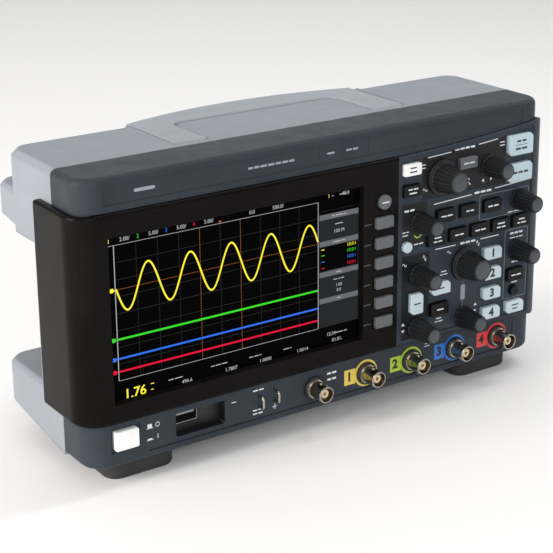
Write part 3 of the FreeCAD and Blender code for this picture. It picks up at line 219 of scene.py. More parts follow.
M = {
    "frame_plastic": moulded("frame_slate", lin(53, 59, 66), 0.40, spec=0.08, grain=1500, wear_and_highlight=0.14,
                             edge=0.7),
    "bezel_gloss": moulded("bezel_black", lin(12, 9, 8), 0.24, grain=2200, depth=0.003, wear_and_highlight=0.02,
                           edge=0.6, tone=0.15, spec=0.07),
    "panel_plastic": moulded("panel_slate", lin(48, 56, 65), 0.38, spec=0.14, grain=1500, wear_and_highlight=0.14,
                             edge=0.4),
    "cover_plastic": moulded("cover_grey", lin(140, 145, 154), 0.50, grain=1300, depth=0.02,
                             wear_and_highlight=0.05, edge=2.4, tone=0.04, spec=0.14),
    "steel": moulded("zinc_steel", lin(150, 150, 148), 0.32, metallic=1.0, grain=700, edge=0.2,
                     stretch=(1, 1, 8)),
    "foot_rubber": moulded("foot_rubber", lin(38, 39, 41), 0.72, grain=1100, depth=0.03, wear_and_highlight=0.10),
    "foot_plastic": moulded("leg_plastic", lin(34, 37, 41), 0.5, grain=1500, wear_and_highlight=0.10),
    "nickel": moulded("nickel", lin(176, 168, 154), 0.22, metallic=1.0, grain=900, depth=0.002,
                      edge=0.15, wear_and_highlight=0, tone=0.08),
    "black_plastic": moulded("socket_black", lin(24, 24, 26), 0.42, grain=1700, wear_and_highlight=0.10),
    "display_glass": moulded("display_glass", lin(9, 9, 11), 0.22, coat=0.2, coat_rough=0.2,
                             depth=0.001, wear_and_highlight=0),
    "circuit_board": moulded("solder_resist", lin(18, 88, 52), 0.32, coat=0.3, grain=800, depth=0.01,
                             wear_and_highlight=0.2),
    "sheet_steel": moulded("screening_plate", lin(168, 168, 164), 0.38, metallic=1.0, grain=500,
                           stretch=(8, 1, 1)),
    "key_light": moulded("key_light", lin(190, 206, 214), 0.36, coat=0.15, grain=2600, depth=0.004,
                         wear_and_highlight=0.25, edge=0.35),
    "key_blue": moulded("key_blue", lin(180, 200, 209), 0.34, coat=0.2, grain=2600, depth=0.004,
                        wear_and_highlight=0.25, edge=0.35),
    "key_white": moulded("key_white", lin(244, 245, 245), 0.38, coat=0.1, grain=2600, depth=0.004,
                         wear_and_highlight=0.10, edge=0.35),
    "key_grey": moulded("key_grey", lin(92, 94, 98), 0.40, grain=2400, depth=0.006, wear_and_highlight=0.25,
                        edge=0.35),
    "key_dark": moulded("key_dark", lin(15, 15, 17), 0.34, grain=2400, depth=0.006, wear_and_highlight=0.45,
                        edge=0.35, spec=0.18),
    # the knobs' ribs are painted light through the edge mask: a painted highlight on the ridges
    "knob_plastic": moulded("knob_charcoal", lin(25, 26, 28), 0.36, grain=2000, depth=0.006,
                            wear_and_highlight=0.85, edge=0.32, spec=0.35),
}
M["handle_grey"] = moulded("handle_grey", lin(152, 156, 164), 0.46, grain=1300, depth=0.02,
                           wear_and_highlight=0.08, edge=0.6, tone=0.04, spec=0.16)
SLOT_OF = {s["node"]: s["material_slot"] for s in frame["record"]["subparts"]}
for node, ob in NODES.items():
    ob.data.materials.clear()
    ob.data.materials.append(M["handle_grey" if node == "handle" else SLOT_OF[node]])

INK_WHITE = printed("ink_white", lin(226, 230, 234))
INK_GREY = printed("ink_grey", lin(150, 158, 168))
INK_DARK = printed("ink_dark", lin(34, 42, 52))
INK_BLACK = printed("ink_black", lin(14, 15, 17))
INK_LINE = printed("ink_line", lin(120, 129, 141))
ZONE = moulded("zone_ink", lin(38, 38, 40), 0.36, spec=0.12, grain=1600, depth=0.004, wear_and_highlight=0, edge=0.1)
ZONE_DEEP = moulded("zone_deep", lin(27, 29, 33), 0.34, spec=0.12, grain=1600, depth=0.004, wear_and_highlight=0, edge=0.1)
RING = {
    1: printed("ring_yellow", lin(232, 205, 92), 0.42),
    2: printed("ring_green", lin(168, 202, 56), 0.42),
    3: printed("ring_blue", lin(46, 112, 194), 0.42),
    4: printed("ring_red", lin(222, 62, 62), 0.42),
}
CAP = moulded("knob_cap", lin(62, 67, 74), 0.42, grain=2200, depth=0.004, wear_and_highlight=0.2, edge=0.3)
INSULATOR = moulded("insulator", lin(214, 198, 162), 0.4, grain=1500, depth=0.006, wear_and_highlight=0, tone=0.06)
GOLD = moulded("contact_gold", lin(206, 160, 74), 0.26, metallic=1.0, grain=900, depth=0.002, wear_and_highlight=0)
SCREEN = lit("screen_black", lin(2, 2, 2), 0.3)
SCREEN_PANEL = lit("screen_panel", lin(58, 60, 62), 0.5)
SCREEN_HEAD = lit("screen_head", lin(120, 122, 126), 0.8)
SCREEN_GRID = lit("screen_grid", lin(64, 64, 66), 0.55)
SCREEN_AXIS = lit("screen_axis", lin(196, 196, 200), 0.9)
SCREEN_TEXT = lit("screen_text", lin(206, 206, 208), 0.9)
TRACE = {
    1: lit("trace_yellow", lin(246, 232, 60), 1.25),
    2: lit("trace_green", lin(58, 214, 46), 1.15),
    3: lit("trace_blue", lin(52, 112, 236), 1.15),
    4: lit("trace_red", lin(226, 24, 58), 1.15),
}
CURSOR = lit("cursor_orange", lin(196, 110, 52), 0.8)


# ---------------------------------------------------------- building pieces
WORD_SPACE = 0.6          # between the dashes of a line
DASH = 3.8                # a longer word takes more than one dash
DASH_TALL = 0.5           # its height over the height of the print
TEXT_THICK = 0.00001      # in metres


def piece(name, bm, material, body, slot):
    """Object on a body, from closed meshes."""
    mesh = bpy.data.meshes.new(name)
    bmesh.ops.recalc_face_normals(bm, faces=bm.faces)
    bm.to_mesh(mesh)
    bm.free()
    ob = bpy.data.objects.new(name, mesh)
    bpy.context.scene.collection.objects.link(ob)
    mesh.materials.append(material)
    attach(ob, body)
    return ob


def prism(bm, outline, y0, y1):
    """Closed plate with an outline in X and Z, from y0 (front) to y1."""
    a = [bm.verts.new(P(x, y0, z)) for x, z in outline]
    b = [bm.verts.new(P(x, y1, z)) for x, z in outline]
    n = len(outline)
    bm.faces.new(a)
    bm.faces.new(b[::-1])
    for i in range(n):
        j = (i + 1) % n
        bm.faces.new((a[i], b[i], b[j], a[j]))


def slab(bm, x0, x1, z0, z1, y0, y1):
    prism(bm, [(x0, z0), (x1, z0), (x1, z1), (x0, z1)], y0, y1)


def ring_plate(bm, outer, inner, y0, y1):
    """Closed plate between two outlines of equal length."""
    n = len(outer)
    rows = [[bm.verts.new(P(x, y, z)) for x, z in outline]
            for outline, y in ((outer, y0), (inner, y0), (inner, y1), (outer, y1))]
    for k in range(4):
        p, q = rows[k], rows[(k + 1) % 4]
        for i in range(n):
            j = (i + 1) % n
            bm.faces.new((p[i], p[j], q[j], q[i]))


def round_rect(x, z, w, h, r, steps=5):
    """Outline of a rounded rectangle about its middle."""
    pts = []
    r = min(r, w / 2 - 0.001, h / 2 - 0.001)
    for cx, cz, a0 in ((x + w / 2 - r, z + h / 2 - r, 0), (x - w / 2 + r, z + h / 2 - r, 90),
                       (x - w / 2 + r, z - h / 2 + r, 180), (x + w / 2 - r, z - h / 2 + r, 270)):
        for i in range(steps + 1):
            a = math.radians(a0 + 90 * i / steps)
            pts.append((cx + r * math.cos(a), cz + r * math.sin(a)))
    return pts


def arc(x, z, r, a0, a1, steps=24):
    return [(x + r * math.cos(math.radians(a0 + (a1 - a0) * i / steps)),
             z + r * math.sin(math.radians(a0 + (a1 - a0) * i / steps))) for i in range(steps + 1)]


def stroke(bm, points, width, y0, y1, closed=False):
    """Line of even width along points in X and Z, as one closed band."""
    n = len(points)
    left, right = [], []
    for i in range(n):
        a = Vector(points[i - 1] if i or closed else points[0])
        b = Vector(points[(i + 1) % n] if i < n - 1 or closed else points[-1])
        here = Vector(points[i])
        d0 = (here - a).normalized() if (here - a).length > 1e-6 else (b - here).normalized()
        d1 = (b - here).normalized() if (b - here).length > 1e-6 else d0
        t = d0 + d1
        t = t.normalized() if t.length > 1e-6 else d0
        side = Vector((-t.y, t.x))
        reach = width / 2 / max(abs(side.dot(Vector((-d0.y, d0.x)))), 0.4)
        left.append(tuple(here + side * reach))
        right.append(tuple(here - side * reach))
    if closed:
        ring_plate(bm, left, right, y0, y1)
    else:
        prism(bm, left + right[::-1], y0, y1)


def lathe(bm, x, z, profile, steps=48):
    """Closed body of revolution about a line along Y; profile is (r, y)."""
    rings = []
    for r, y in profile:
        if r < 1e-6:
            rings.append([bm.verts.new(P(x, y, z))])
        else:
            rings.append([bm.verts.new(P(x + r * math.cos(2 * math.pi * i / steps), y,
                                         z + r * math.sin(2 * math.pi * i / steps))) for i in range(steps)])
    for p, q in zip(rings, rings[1:]):
        for i in range(steps):
            j = (i + 1) % steps
            if len(p) == 1 and len(q) == 1:
                continue
            if len(p) == 1:
                bm.faces.new((p[0], q[j], q[i]))
            elif len(q) == 1:
                bm.faces.new((p[i], p[j], q[0]))
            else:
                bm.faces.new((p[i], p[j], q[j], q[i]))


def bars(bm, x, z, widths, height, pitch, y0, y1):
    """Rows of plain rounded dashes that stand in for lines of print."""
    top = z + pitch * (len(widths) - 1) / 2
    tall = height * DASH_TALL
    for i, row in enumerate(widths):
        u = x - (sum(row) + WORD_SPACE * (len(row) - 1)) / 2
        for w in row:
            count = max(1, round(w / DASH))
            step = (w - WORD_SPACE * (count - 1)) / count
            for k in range(count):
                middle_x = u + step / 2 + k * (step + WORD_SPACE)
                prism(bm, round_rect(middle_x, top - i * pitch, step, tall, tall * 0.45, 3), y0, y1)
            u += w + WORD_SPACE


def text(name, body, string, x, z, size, y, material, bold=0.0):
    """Numerals set flat on a face that looks towards -Y."""
    curve = bpy.data.curves.new(name, "FONT")
    curve.body = string
    curve.size = size / 1000
    curve.align_x = "CENTER"
    curve.align_y = "CENTER"
    curve.extrude = TEXT_THICK
    curve.offset = bold / 1000
    curve.resolution_u = 4
    curve.materials.append(material)
    ob = bpy.data.objects.new(name, curve)
    bpy.context.scene.collection.objects.link(ob)
    ob.location = P(x, y, z)
    ob.rotation_euler = (math.pi / 2, 0, 0)
    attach(ob, body)
    return ob


def turned(name, x, z, profile, steps, material, body, slot):
    """Lathe work as a piece of its own."""
    bm = bmesh.new()
    lathe(bm, x, z, profile, steps)
    bmesh.ops.remove_doubles(bm, verts=bm.verts, dist=1e-7)
    return piece(name, bm, material, body, slot)


# ------------------------------------------------------------------ display
SX0, SX1, SZ0, SZ1 = SPLIT - 182.3, SPLIT - 24.1, 47.1, 137.1      # window
GX0, GX1, GZ0, GZ1 = SX0 + 4.8, SX0 + 129.4, 59.0, 131.9           # graticule
IX0, IX1 = GX1 + 1.0, SX0 + 156.8                                  # column at its right
LAYER = 0.03
UNDER = 2.5               # the picture reaches under the bezel
COLUMNS, ROWS, TICKS = 10, 8, 5
LINE = 0.12               # half widths of the lines of the graticule
TICK = 0.08
TICK_REACH = 0.6
ZERO = 108.4              # zero line of the sine
SWING = 11.8
DASHED = 0.13, 0.9, 1.4   # half width, length and pitch of dashed lines
TOP_ROW = 134.4           # line of readouts over the graticule
READOUT = 2.9             # height of the readouts' figures


def depth(k):
    """Face of the k-th layer of the picture, in front of the glass."""
    return GLASS - LAYER * (k + 1)


def on_screen(name, k, material, draw):
    bm = bmesh.new()
    draw(bm, depth(k), depth(k) + LAYER * 0.7)
    return piece(name, bm, material, "case", "display_glass")


def rects(items):
    def draw(bm, y0, y1):
        for item in items:
            slab(bm, *item, y0, y1)
    return draw


def display():
    on_screen("screen_base", 0, SCREEN, rects([(SX0 - UNDER, SX1 + UNDER, SZ0 - UNDER, SZ1 + UNDER)]))
    dx = (GX1 - GX0) / COLUMNS
    dz = (GZ1 - GZ0) / ROWS
    lines = [(GX0 + i * dx - LINE, GX0 + i * dx + LINE, GZ0, GZ1) for i in range(1, COLUMNS)]
    lines += [(GX0, GX1, GZ0 + i * dz - LINE, GZ0 + i * dz + LINE) for i in range(1, ROWS)]
    on_screen("screen_grid", 1, SCREEN_GRID, rects(lines))
    mid_x, mid_z = GX0 + COLUMNS / 2 * dx, GZ0 + ROWS / 2 * dz
    ticks = []
    for i in range(1, COLUMNS * TICKS):
        x = GX0 + i * dx / TICKS
        ticks.append((x - TICK, x + TICK, mid_z - TICK_REACH, mid_z + TICK_REACH))
    for i in range(1, ROWS * TICKS):
        z = GZ0 + i * dz / TICKS
        ticks.append((mid_x - TICK_REACH, mid_x + TICK_REACH, z - TICK, z + TICK))
    on_screen("screen_ticks", 2, SCREEN_GRID, rects(ticks))
    w = 0.22
    on_screen("screen_axes", 3, SCREEN_AXIS, rects([
        (GX0 - 3.2, GX1 + 0.2, GZ1, GZ1 + w), (GX0 - 0.35, GX0 + 0.1, GZ0, GZ1), (GX0, GX1, GZ0 - w, GZ0),
        (GX1, GX1 + w * 1.6, GZ0, GZ1 + w)]))
    thin, length, pitch = DASHED
    dashes = []
    x = GX0
    while x < GX1 - 1:
        dashes.append((x, x + length, ZERO - thin, ZERO + thin))
        x += pitch
    for cx in (GX0 + 4 * dx, GX0 + 6 * dx):
        z = GZ0 + 0.4
        while z < GZ1 - 1:
            dashes.append((cx - thin, cx + thin, z, z + length))
            z += pitch
    on_screen("screen_cursors", 4, CURSOR, rects(dashes))
    for n, z0, z1 in ((4, 63.4, 64.4), (3, 70.5, 71.5), (2, 81.0, 82.1)):
        on_screen("trace_%d" % n, 5, TRACE[n], rects([(GX0 + 0.4, GX1, z0, z1)]))

    def sine(bm, y0, y1):
        pts = []
        for i in range(401):
            x = GX0 + 0.3 + (GX1 - GX0 - 0.3) * i / 400
            pts.append((x, ZERO - SWING * math.sin(2 * math.pi * (x - GX0 - 0.4) / (2 * dx))))
        stroke(bm, pts, 0.95, y0, y1)
    on_screen("trace_1", 6, TRACE[1], sine)

    def mark(z):
        def draw(bm, y0, y1):
            prism(bm, [(GX0 - 3.4, z - 1.1), (GX0 - 1.6, z - 1.1), (GX0 - 0.5, z), (GX0 - 1.6, z + 1.1),
                       (GX0 - 3.4, z + 1.1)], y0, y1)
        return draw
    for n, z in ((1, ZERO), (2, 81.6), (3, 71.0), (4, 63.9)):
        on_screen("ground_mark_%d" % n, 7, TRACE[n], mark(z))
    on_screen("trigger_mark", 7, CURSOR, lambda bm, y0, y1: prism(
        bm, [(mid_x - 1.1, GZ1 + 1.6), (mid_x, GZ1 + 0.1), (mid_x + 1.1, GZ1 + 1.6)], y0, y1))

    # column at the right: headings and rows
    on_screen("info_panel", 1, SCREEN_PANEL, rects([(IX0, IX1, GZ0, 124.6)]))
    rows = (122.9, 107.7, 89.9, 74.5)
    on_screen("info_heads", 2, SCREEN_HEAD, rects([(IX0, IX1, z - 1.5, z + 1.5) for z in rows]))
    on_screen("info_wells", 2, SCREEN, rects([(IX0 + 0.5, IX1 - 0.5, rows[1] - 15.6, rows[1] - 2.0)]))

    def small(items):
        def draw(bm, y0, y1):
            for x, z, widths in items:
                bars(bm, x, z, [widths], 0.9, 1, y0, y1)
        return draw
    cx = (IX0 + IX1) / 2
    on_screen("info_lines", 3, SCREEN_TEXT, small([
        (cx, rows[0], [2.2, 4.6, 1.6]), (cx, rows[1], [5.2, 2.4]), (cx, rows[2], [3.6]), (cx, rows[3], [2.4]),
        (cx, 117.9, [5.4]), (cx, 85.8, [2.6, 1.0, 2.6]),
        (IX0 + 9.0, 134.3, [1.0]), (IX0 + 15.5, 134.3, [4.2]),
        (GX0 + 33.0, 52.1, [3.2, 4.6]), (GX0 + 60.0, 53.4, [2.4, 3.2, 3.6]),
        (GX0 + 83.0, 52.7, [6.0, 1.2]), (GX0 + 104.0, 52.1, [3.6, 1.2]), (IX0 + 15.0, 54.0, [5.0, 2.2])]))

    def figures(name, string, x, z, size=READOUT, ink=SCREEN_TEXT, bold=0.0):
        text(name, "case", string, x, z, size, depth(3), ink, bold)
    for n, z in ((1, 104.4), (2, 101.0), (3, 97.4), (4, 93.7)):
        on_screen("info_row_%d" % n, 3, TRACE[n], small([(IX0 + 2.4, z, [2.2])]))
        figures("info_ratio_%d" % n, "10.0:1", IX1 - 4.6, z, 2.7, TRACE[n])
    on_screen("info_bars_low", 3, SCREEN_GRID, small([
        (IX0 + 5.0, 71.3, [1.6, 3.6]), (IX0 + 21.0, 71.0, [3.0, 1.8]), (IX0 + 5.0, 68.3, [1.6, 3.6]),
        (IX0 + 21.0, 67.9, [3.0, 1.8])]))
    figures("rate", "100 M", cx, 113.8)
    figures("math_a", "1.00", cx, 82.2, 2.5)
    figures("math_b", "0.0", cx, 79.2, 2.5)
    for n, x, value in ((1, 2.0, "2.00/"), (2, 18.6, "5.00/"), (3, 35.0, "5.00/"), (4, 51.4, "5.00/")):
        figures("scale_no_%d" % n, str(n), SX0 + x, TOP_ROW, 3.0, TRACE[n])
        figures("scale_%d" % n, value, SX0 + x + 9.0, TOP_ROW)
    figures("delay", "0.0", SX0 + 87.0, TOP_ROW)
    figures("timebase", "500.0/", SX0 + 103.5, TOP_ROW)
    figures("level", "-40.0", SX0 + 147.5, TOP_ROW)
    figures("trigger_no", "1", SX0 + 136.8, TOP_ROW, 3.0, TRACE[1])
    figures("volts", "1.76", GX0 + 9.0, 50.4, 7.6, TRACE[1], 0.12)
    on_screen("volts_units", 3, TRACE[1], small([(GX0 + 19.2, 52.8, [2.0]), (GX0 + 19.0, 49.6, [1.4])]))
    figures("width", "496.6", GX0 + 40.0, 49.0)
    figures("rms", "1.7807", GX0 + 67.5, 49.1)
    figures("counter", "1.0000", GX0 + 89.5, 49.0)
    figures("freq", "1.0014", GX0 + 114.0, 48.9)
    figures("clock", "12:34", IX0 + 8.0, 54.0)
    figures("date", "01.01.", IX0 + 12.0, 49.9)
    # outline of the column
    bm = bmesh.new()
    stroke(bm, [(IX0 - 0.4, 126.4), (IX1 + 0.3, 126.4), (IX1 + 0.3, GZ0), (IX0 - 0.4, GZ0)], 0.18, depth(2),
           depth(2) + 0.02, closed=True)
    piece("info_frame", bm, SCREEN_GRID, "case", "display_glass")


display()


# ---------------------------------------------------- printing on the panel
def arch_z(x, base, rise):
    """Height of a line that follows the panel's upper edge."""
    t = (x - SPLIT) / (SIDE - SPLIT)
    return base + rise * (0.2 * t + 0.8 * t * t)


def panel_piece(name, bm, material):
    piece(name, bm, material, "case", "panel_plastic")


def panel_zone(name, outline, material):
    bm = bmesh.new()
    prism(bm, outline, *print_on(FACE_INLAY))
    panel_piece(name, bm, material)


def panel_print():
    """Dark zones and outlines, and over them the rules, words and signs."""
    y = FACE_INLAY
    s = SPLIT
    low, high = print_on(y), print_on(y - INK)
    horizontal = [(s + 17.4, 121.4), (s + 79.2, 121.4), (s + 79.2, 150.2)]
    horizontal += [(s + u, arch_z(s + u, 146.2, 6.6)) for u in (70, 60, 50, 40, 30, 20)]
    horizontal += [(s + 17.4, 146.6)]
    panel_zone("zone_horizontal", horizontal, ZONE)
    panel_zone("zone_entry", round_rect(s + 11.4, 108.0, 19.6, 26.0, 1.5), ZONE)
    panel_zone("zone_math", round_rect(s + 13.3, 64.6, 20.6, 51.4, 1.5), ZONE_DEEP)
    outlines = bmesh.new()
    stroke(outlines, round_rect(s + 90.3, 69.6, 17.8, 43.4, 1.2), 0.35, *low, closed=True)
    stroke(outlines, round_rect(s + 79.6, 109.0, 38.0, 15.0, 1.2), 0.35, *low, closed=True)
    panel_piece("panel_outlines", outlines, INK_LINE)
    rules = bmesh.new()
    for a, b, z0, z1 in ((21.0, 38.0, 145.9, 146.6), (58.5, 73.0, 147.9, 149.0),
                         (26.0, 54.0, 117.6, 118.6), (72.0, 96.5, 119.4, 120.6),
                         (28.0, 43.0, 90.2, 90.0), (62.0, 76.0, 90.0, 90.0)):
        stroke(rules, [(s + a, z0), (s + b, z1)], 0.55, *high)
    panel_piece("panel_rules", rules, INK_WHITE)
    words = bmesh.new()
    for u, z, row, h in ((48.2, 147.4, [15.0], 2.5), (62.8, 119.0, [13.0], 2.5), (52.3, 90.1, [11.6], 2.5),
                         (8.4, 117.0, [7.4], 2.4), (90.2, 88.8, [10.0], 2.4), (90.2, 70.6, [6.0], 1.7),
                         (90.0, 57.6, [4.6], 1.4), (15.4, 96.1, [7.0], 1.4)):
        bars(words, s + u, z, [row], h, 1, *high)
    for u, z, rows in ((76.6, 145.6, ([3.8], [3.8])), (17.6, 141.2, ([3.8], [3.6])),
                       (5.4, 103.6, ([3.2, 1.6], [4.4])), (34.6, 74.6, ([4.0], [2.4, 2.6])),
                       (90.3, 86.0, ([4.0, 2.0, 3.0],)), (87.5, 102.6, ([4.0, 5.0],)),
                       (31.6, 46.2, ([3.8], [2.0, 3.4]))):
        bars(words, s + u, z, list(rows), 1.25, 1.9, *high)
    panel_piece("panel_words", words, INK_WHITE)
    icons = bmesh.new()

    def tri(x, z, size, up):
        a = size if up in ("up", "right") else -size
        if up in ("up", "down"):
            prism(icons, [(x - size * 0.7, z - a / 2), (x + size * 0.7, z - a / 2), (x, z + a / 2)], *high)
        else:
            prism(icons, [(x - a / 2, z - size * 0.7), (x - a / 2, z + size * 0.7), (x + a / 2, z)], *high)

    def wave_icon(x, z, width, tall):
        pts = [(x - width / 2 + width * i / 16, z + tall / 2 * math.sin(2 * math.pi * i / 16))
               for i in range(17)]
        stroke(icons, pts, 0.4, *high)
    for u, z, size, way in ((62.4, 125.6, 1.7, "left"), (68.8, 125.8, 1.7, "right"), (5.0, 49.0, 1.8, "up"),
                            (5.0, 44.6, 1.8, "down"), (59.4, 50.0, 1.8, "up"), (59.2, 45.6, 1.8, "down")):
        tri(s + u, z, size, way)
    for u, z, width, tall in ((19.4, 127.2, 3.2, 1.6), (41.4, 149.0, 2.4, 3.4), (5.4, 85.0, 3.0, 1.8),
                              (20.0, 86.6, 2.2, 3.4), (38.2, 86.4, 3.0, 1.8), (60.2, 87.8, 2.2, 3.4)):
        wave_icon(s + u, z, width, tall)
    stroke(icons, arc(s + 50.2, 127.6, 1.7, 0, 330), 0.45, *high)
    stroke(icons, [(s + 51.5, 126.3), (s + 52.9, 124.8)], 0.6, *high)
    panel_piece("panel_icons", icons, INK_WHITE)
    turn = bmesh.new()
    stroke(turn, arc(s + 14.8, 102.6, 2.6, 200, 330), 0.7, *high)
    tip = arc(s + 14.8, 102.6, 2.6, 330, 330, 1)[0]
    prism(turn, [(tip[0] - 1.3, tip[1]), (tip[0] + 1.0, tip[1] - 0.6), (tip[0] + 0.4, tip[1] + 1.7)], *high)
    panel_piece("entry_arrow", turn, RING[2])
    lead = bmesh.new()
    stroke(lead, [(s + 49.3, 50.0), (s + 49.3, 68.4)], 0.35, *low)
    panel_piece("indicator_lead", lead, INK_LINE)
    bar = bmesh.new()
    prism(bar, round_rect(s + 49.2, 59.8, 3.4, 9.4, 0.7), y - 0.35, y - INK_GAP)
    indicator = moulded("indicator", lin(126, 134, 146), 0.3, coat=0.3, wear_and_highlight=0.1, depth=0.002)
    piece("indicator_bar", bar, indicator, "case", "key_light")


panel_print()


# -------------------------------------------------------------- key legends
LEGENDS = {
    "auto_scale_key": (INK_DARK, ([4.6], [5.4])), "default_setup_key": (INK_WHITE, ([7.0], [5.4])),
    "acquire_key": (INK_WHITE, ([8.0],)), "run_stop_key": (INK_DARK, ([7.4], [9.0])),
    "single_key": (INK_DARK, ([12.0],)), "analyze_key": (INK_WHITE, ([8.4],)),
    "measure_key": (INK_WHITE, ([5.8],)), "cursors_key": (INK_WHITE, ([8.0],)),
    "save_recall_key": (INK_WHITE, ([5.0], [6.4])), "utility_key": (INK_WHITE, ([6.6],)),
    "display_key": (INK_WHITE, ([8.0],)), "quick_action_key": (INK_WHITE, ([5.6], [6.8])),
    "save_usb_key": (INK_WHITE, ([4.8], [2.2, 4.0])), "fft_key": (INK_DARK, ([4.8],)),
    "math_key": (INK_DARK, ([5.2],)), "help_key": (INK_WHITE, ([4.8],)),
    "trigger_key": (INK_WHITE, ([7.6],)), "wave_gen_key": (INK_DARK, ([5.4], [4.0])),
}


LEGEND = 0.02             # the legends' reach in front of a key and into it


def legend_on(node):
    y = front_y(node)
    return y - LEGEND, y + LEGEND


def legends():
    """Dashes and numerals on the keys, marks by the power button and softkeys."""
    for node, (ink, rows) in LEGENDS.items():
        x, z = middle(node)
        big = node in ("run_stop_key", "single_key")
        bm = bmesh.new()
        bars(bm, x, z, list(rows), 2.5 if big else 1.6, 4.6 if big else 2.3, *legend_on(node))
        if node == "run_stop_key":
            prism(bm, round_rect(x, z, 10.0, 0.3, 0.1), *legend_on(node))
        piece("legend_" + node, bm, ink, node + "_body", SLOT_OF[node])
    for n in (1, 2, 3, 4):
        node = "channel_%d_key" % n
        x, z = middle(node)
        text("numeral_%d" % n, node + "_body", str(n), x, z, 7.0, front_y(node) - LEGEND, INK_BLACK,
             bold=0.3)
    x, z = middle("back_key")
    bm = bmesh.new()
    bars(bm, x, z, [[5.0]], 1.5, 1.8, *legend_on("back_key"))
    piece("legend_back_key", bm, INK_WHITE, "back_key_body", SLOT_OF["back_key"])
    x, z = middle("power_button")
    y = print_on(FACE_FRAME)
    bm = bmesh.new()
    for rise, tall in ((3.1, 2.6), (-3.6, 1.1)):
        base = z + rise - 1.4
        for x0, x1, z0, z1 in ((12.2, 16.2, 0, 0.35), (12.9, 15.5, 0.4, tall)):
            slab(bm, x + x0, x + x1, base + z0, base + z1, *y)
    stroke(bm, arc(x + 18.9, z + 3.1, 1.15, 0, 345), 0.35, *y)
    stroke(bm, [(x + 18.9, z - 4.8), (x + 18.9, z - 2.4)], 0.4, *y)
    piece("power_marks", bm, INK_WHITE, "case", "frame_plastic")
    rays = bmesh.new()
    for i in range(1, 7):
        kx, kz = middle("softkey_%d" % i)
        stroke(rays, [(kx - 13.4, kz), (kx - 8.6, kz)], 0.4, *print_on(0))
    piece("softkey_leads", rays, printed("ink_bezel", lin(96, 96, 98)), "case", "bezel_gloss")


legends()


# -------------------------------------------------------------------- knobs
KNOB_NODES = [n for n in NODES if n.endswith("_knob")]
SHAFT_R = 2.0
SHAFT_END = 6.4
KNOB_FOOT = -0.6          # underside of the knobs
SKIRT_T = 1.6
RIB_STEPS = 8             # points over one flute
BIG = 15                  # wider knobs have a skirt


def fluted(bm, x, z, profile, flutes):
    """Closed body about a line along Y; profile is (r, y, depth of its flutes)."""
    steps = flutes * RIB_STEPS
    rings = []
    for r, y, deep in profile:
        if r < 1e-6:
            rings.append([bm.verts.new(P(x, y, z))])
            continue
        ring = []
        for i in range(steps):
            here = r - deep * abs(math.cos(math.pi * i / RIB_STEPS))
            a = 2 * math.pi * i / steps
            ring.append(bm.verts.new(P(x + here * math.cos(a), y, z + here * math.sin(a))))
        rings.append(ring)
    for p, q in zip(rings, rings[1:]):
        for i in range(steps):
            j = (i + 1) % steps
            if len(p) == 1:
                bm.faces.new((p[0], q[j], q[i]))
            elif len(q) == 1:
                bm.faces.new((p[i], p[j], q[0]))
            else:
                bm.faces.new((p[i], p[j], q[j], q[i]))


def knobs():
    """Ribbed bodies and flat caps."""
    for node in KNOB_NODES:
        x, z = middle(node)
        y = front_y(node)
        big = width_of(node) > BIG
        tip, base, cap, flutes, deep = (6.7, 8.9, 5.35, 24, 0.62) if big else (4.9, 6.5, 3.85, 18, 0.56)
        foot = KNOB_FOOT - SKIRT_T if big else KNOB_FOOT
        profile = [(0, y + 0.1, 0), (cap, y + 0.1, 0), (cap + 0.15, y, 0), (tip - 0.5, y + 0.02, deep * 0.3),
                   (tip - 0.15, y + 0.2, deep * 0.8), (tip, y + 0.6, deep),
                   (base - 0.05, foot - 0.5, deep * 0.9), (base, foot, 0)]
        if big:
            skirt = width_of(node) / 2
            profile += [(skirt - 0.5, foot, 0), (skirt - 0.1, foot + 0.2, 0), (skirt, foot + 0.6, 0),
                        (skirt, KNOB_FOOT, 0)]
        profile += [(SHAFT_R, KNOB_FOOT, 0), (SHAFT_R, SHAFT_END, 0), (0, SHAFT_END, 0)]
        bm = bmesh.new()
        fluted(bm, x, z, profile, flutes)
        body = piece("ribs_" + node, bm, M["knob_plastic"], node + "_body", "knob_plastic")
        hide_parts(node)
        ob = turned("cap_" + node, x, z, [
            (0, y - 0.05), (cap * 0.6, y - 0.05), (cap - 0.4, y - 0.04), (cap - 0.1, y), (cap, y + 0.09),
            (cap, y + 0.09), (0, y + 0.09)], 48, CAP, node + "_body", "knob_plastic")
        for f in ob.data.polygons:
            f.use_smooth = True


knobs()


# ------------------------------------------------------------------ sockets
BNC_X = [SPLIT - 57.2] + [SPLIT - 20.8 + 32.8 * i for i in range(4)]
BNC_Z = 25.3
TIP = -11.3               # mouth of the sockets
RING_R = 8.1, 6.5         # coloured ring, outside and inside
RING_STEPS = 64
RING_LAYER = 0.06, 0.004  # its front and back, before the frame's face
TAB = 15.2, 7.4, 7.9, 4.6 # tab beside it: far, near, near at the middle, half height
TAB_LAYER = 0.05, 0.006


def circle(x, r):
    """Outline about the axis of a socket."""
    return [(x + r * math.cos(2 * math.pi * k / RING_STEPS),
             BNC_Z + r * math.sin(2 * math.pi * k / RING_STEPS)) for k in range(RING_STEPS)]


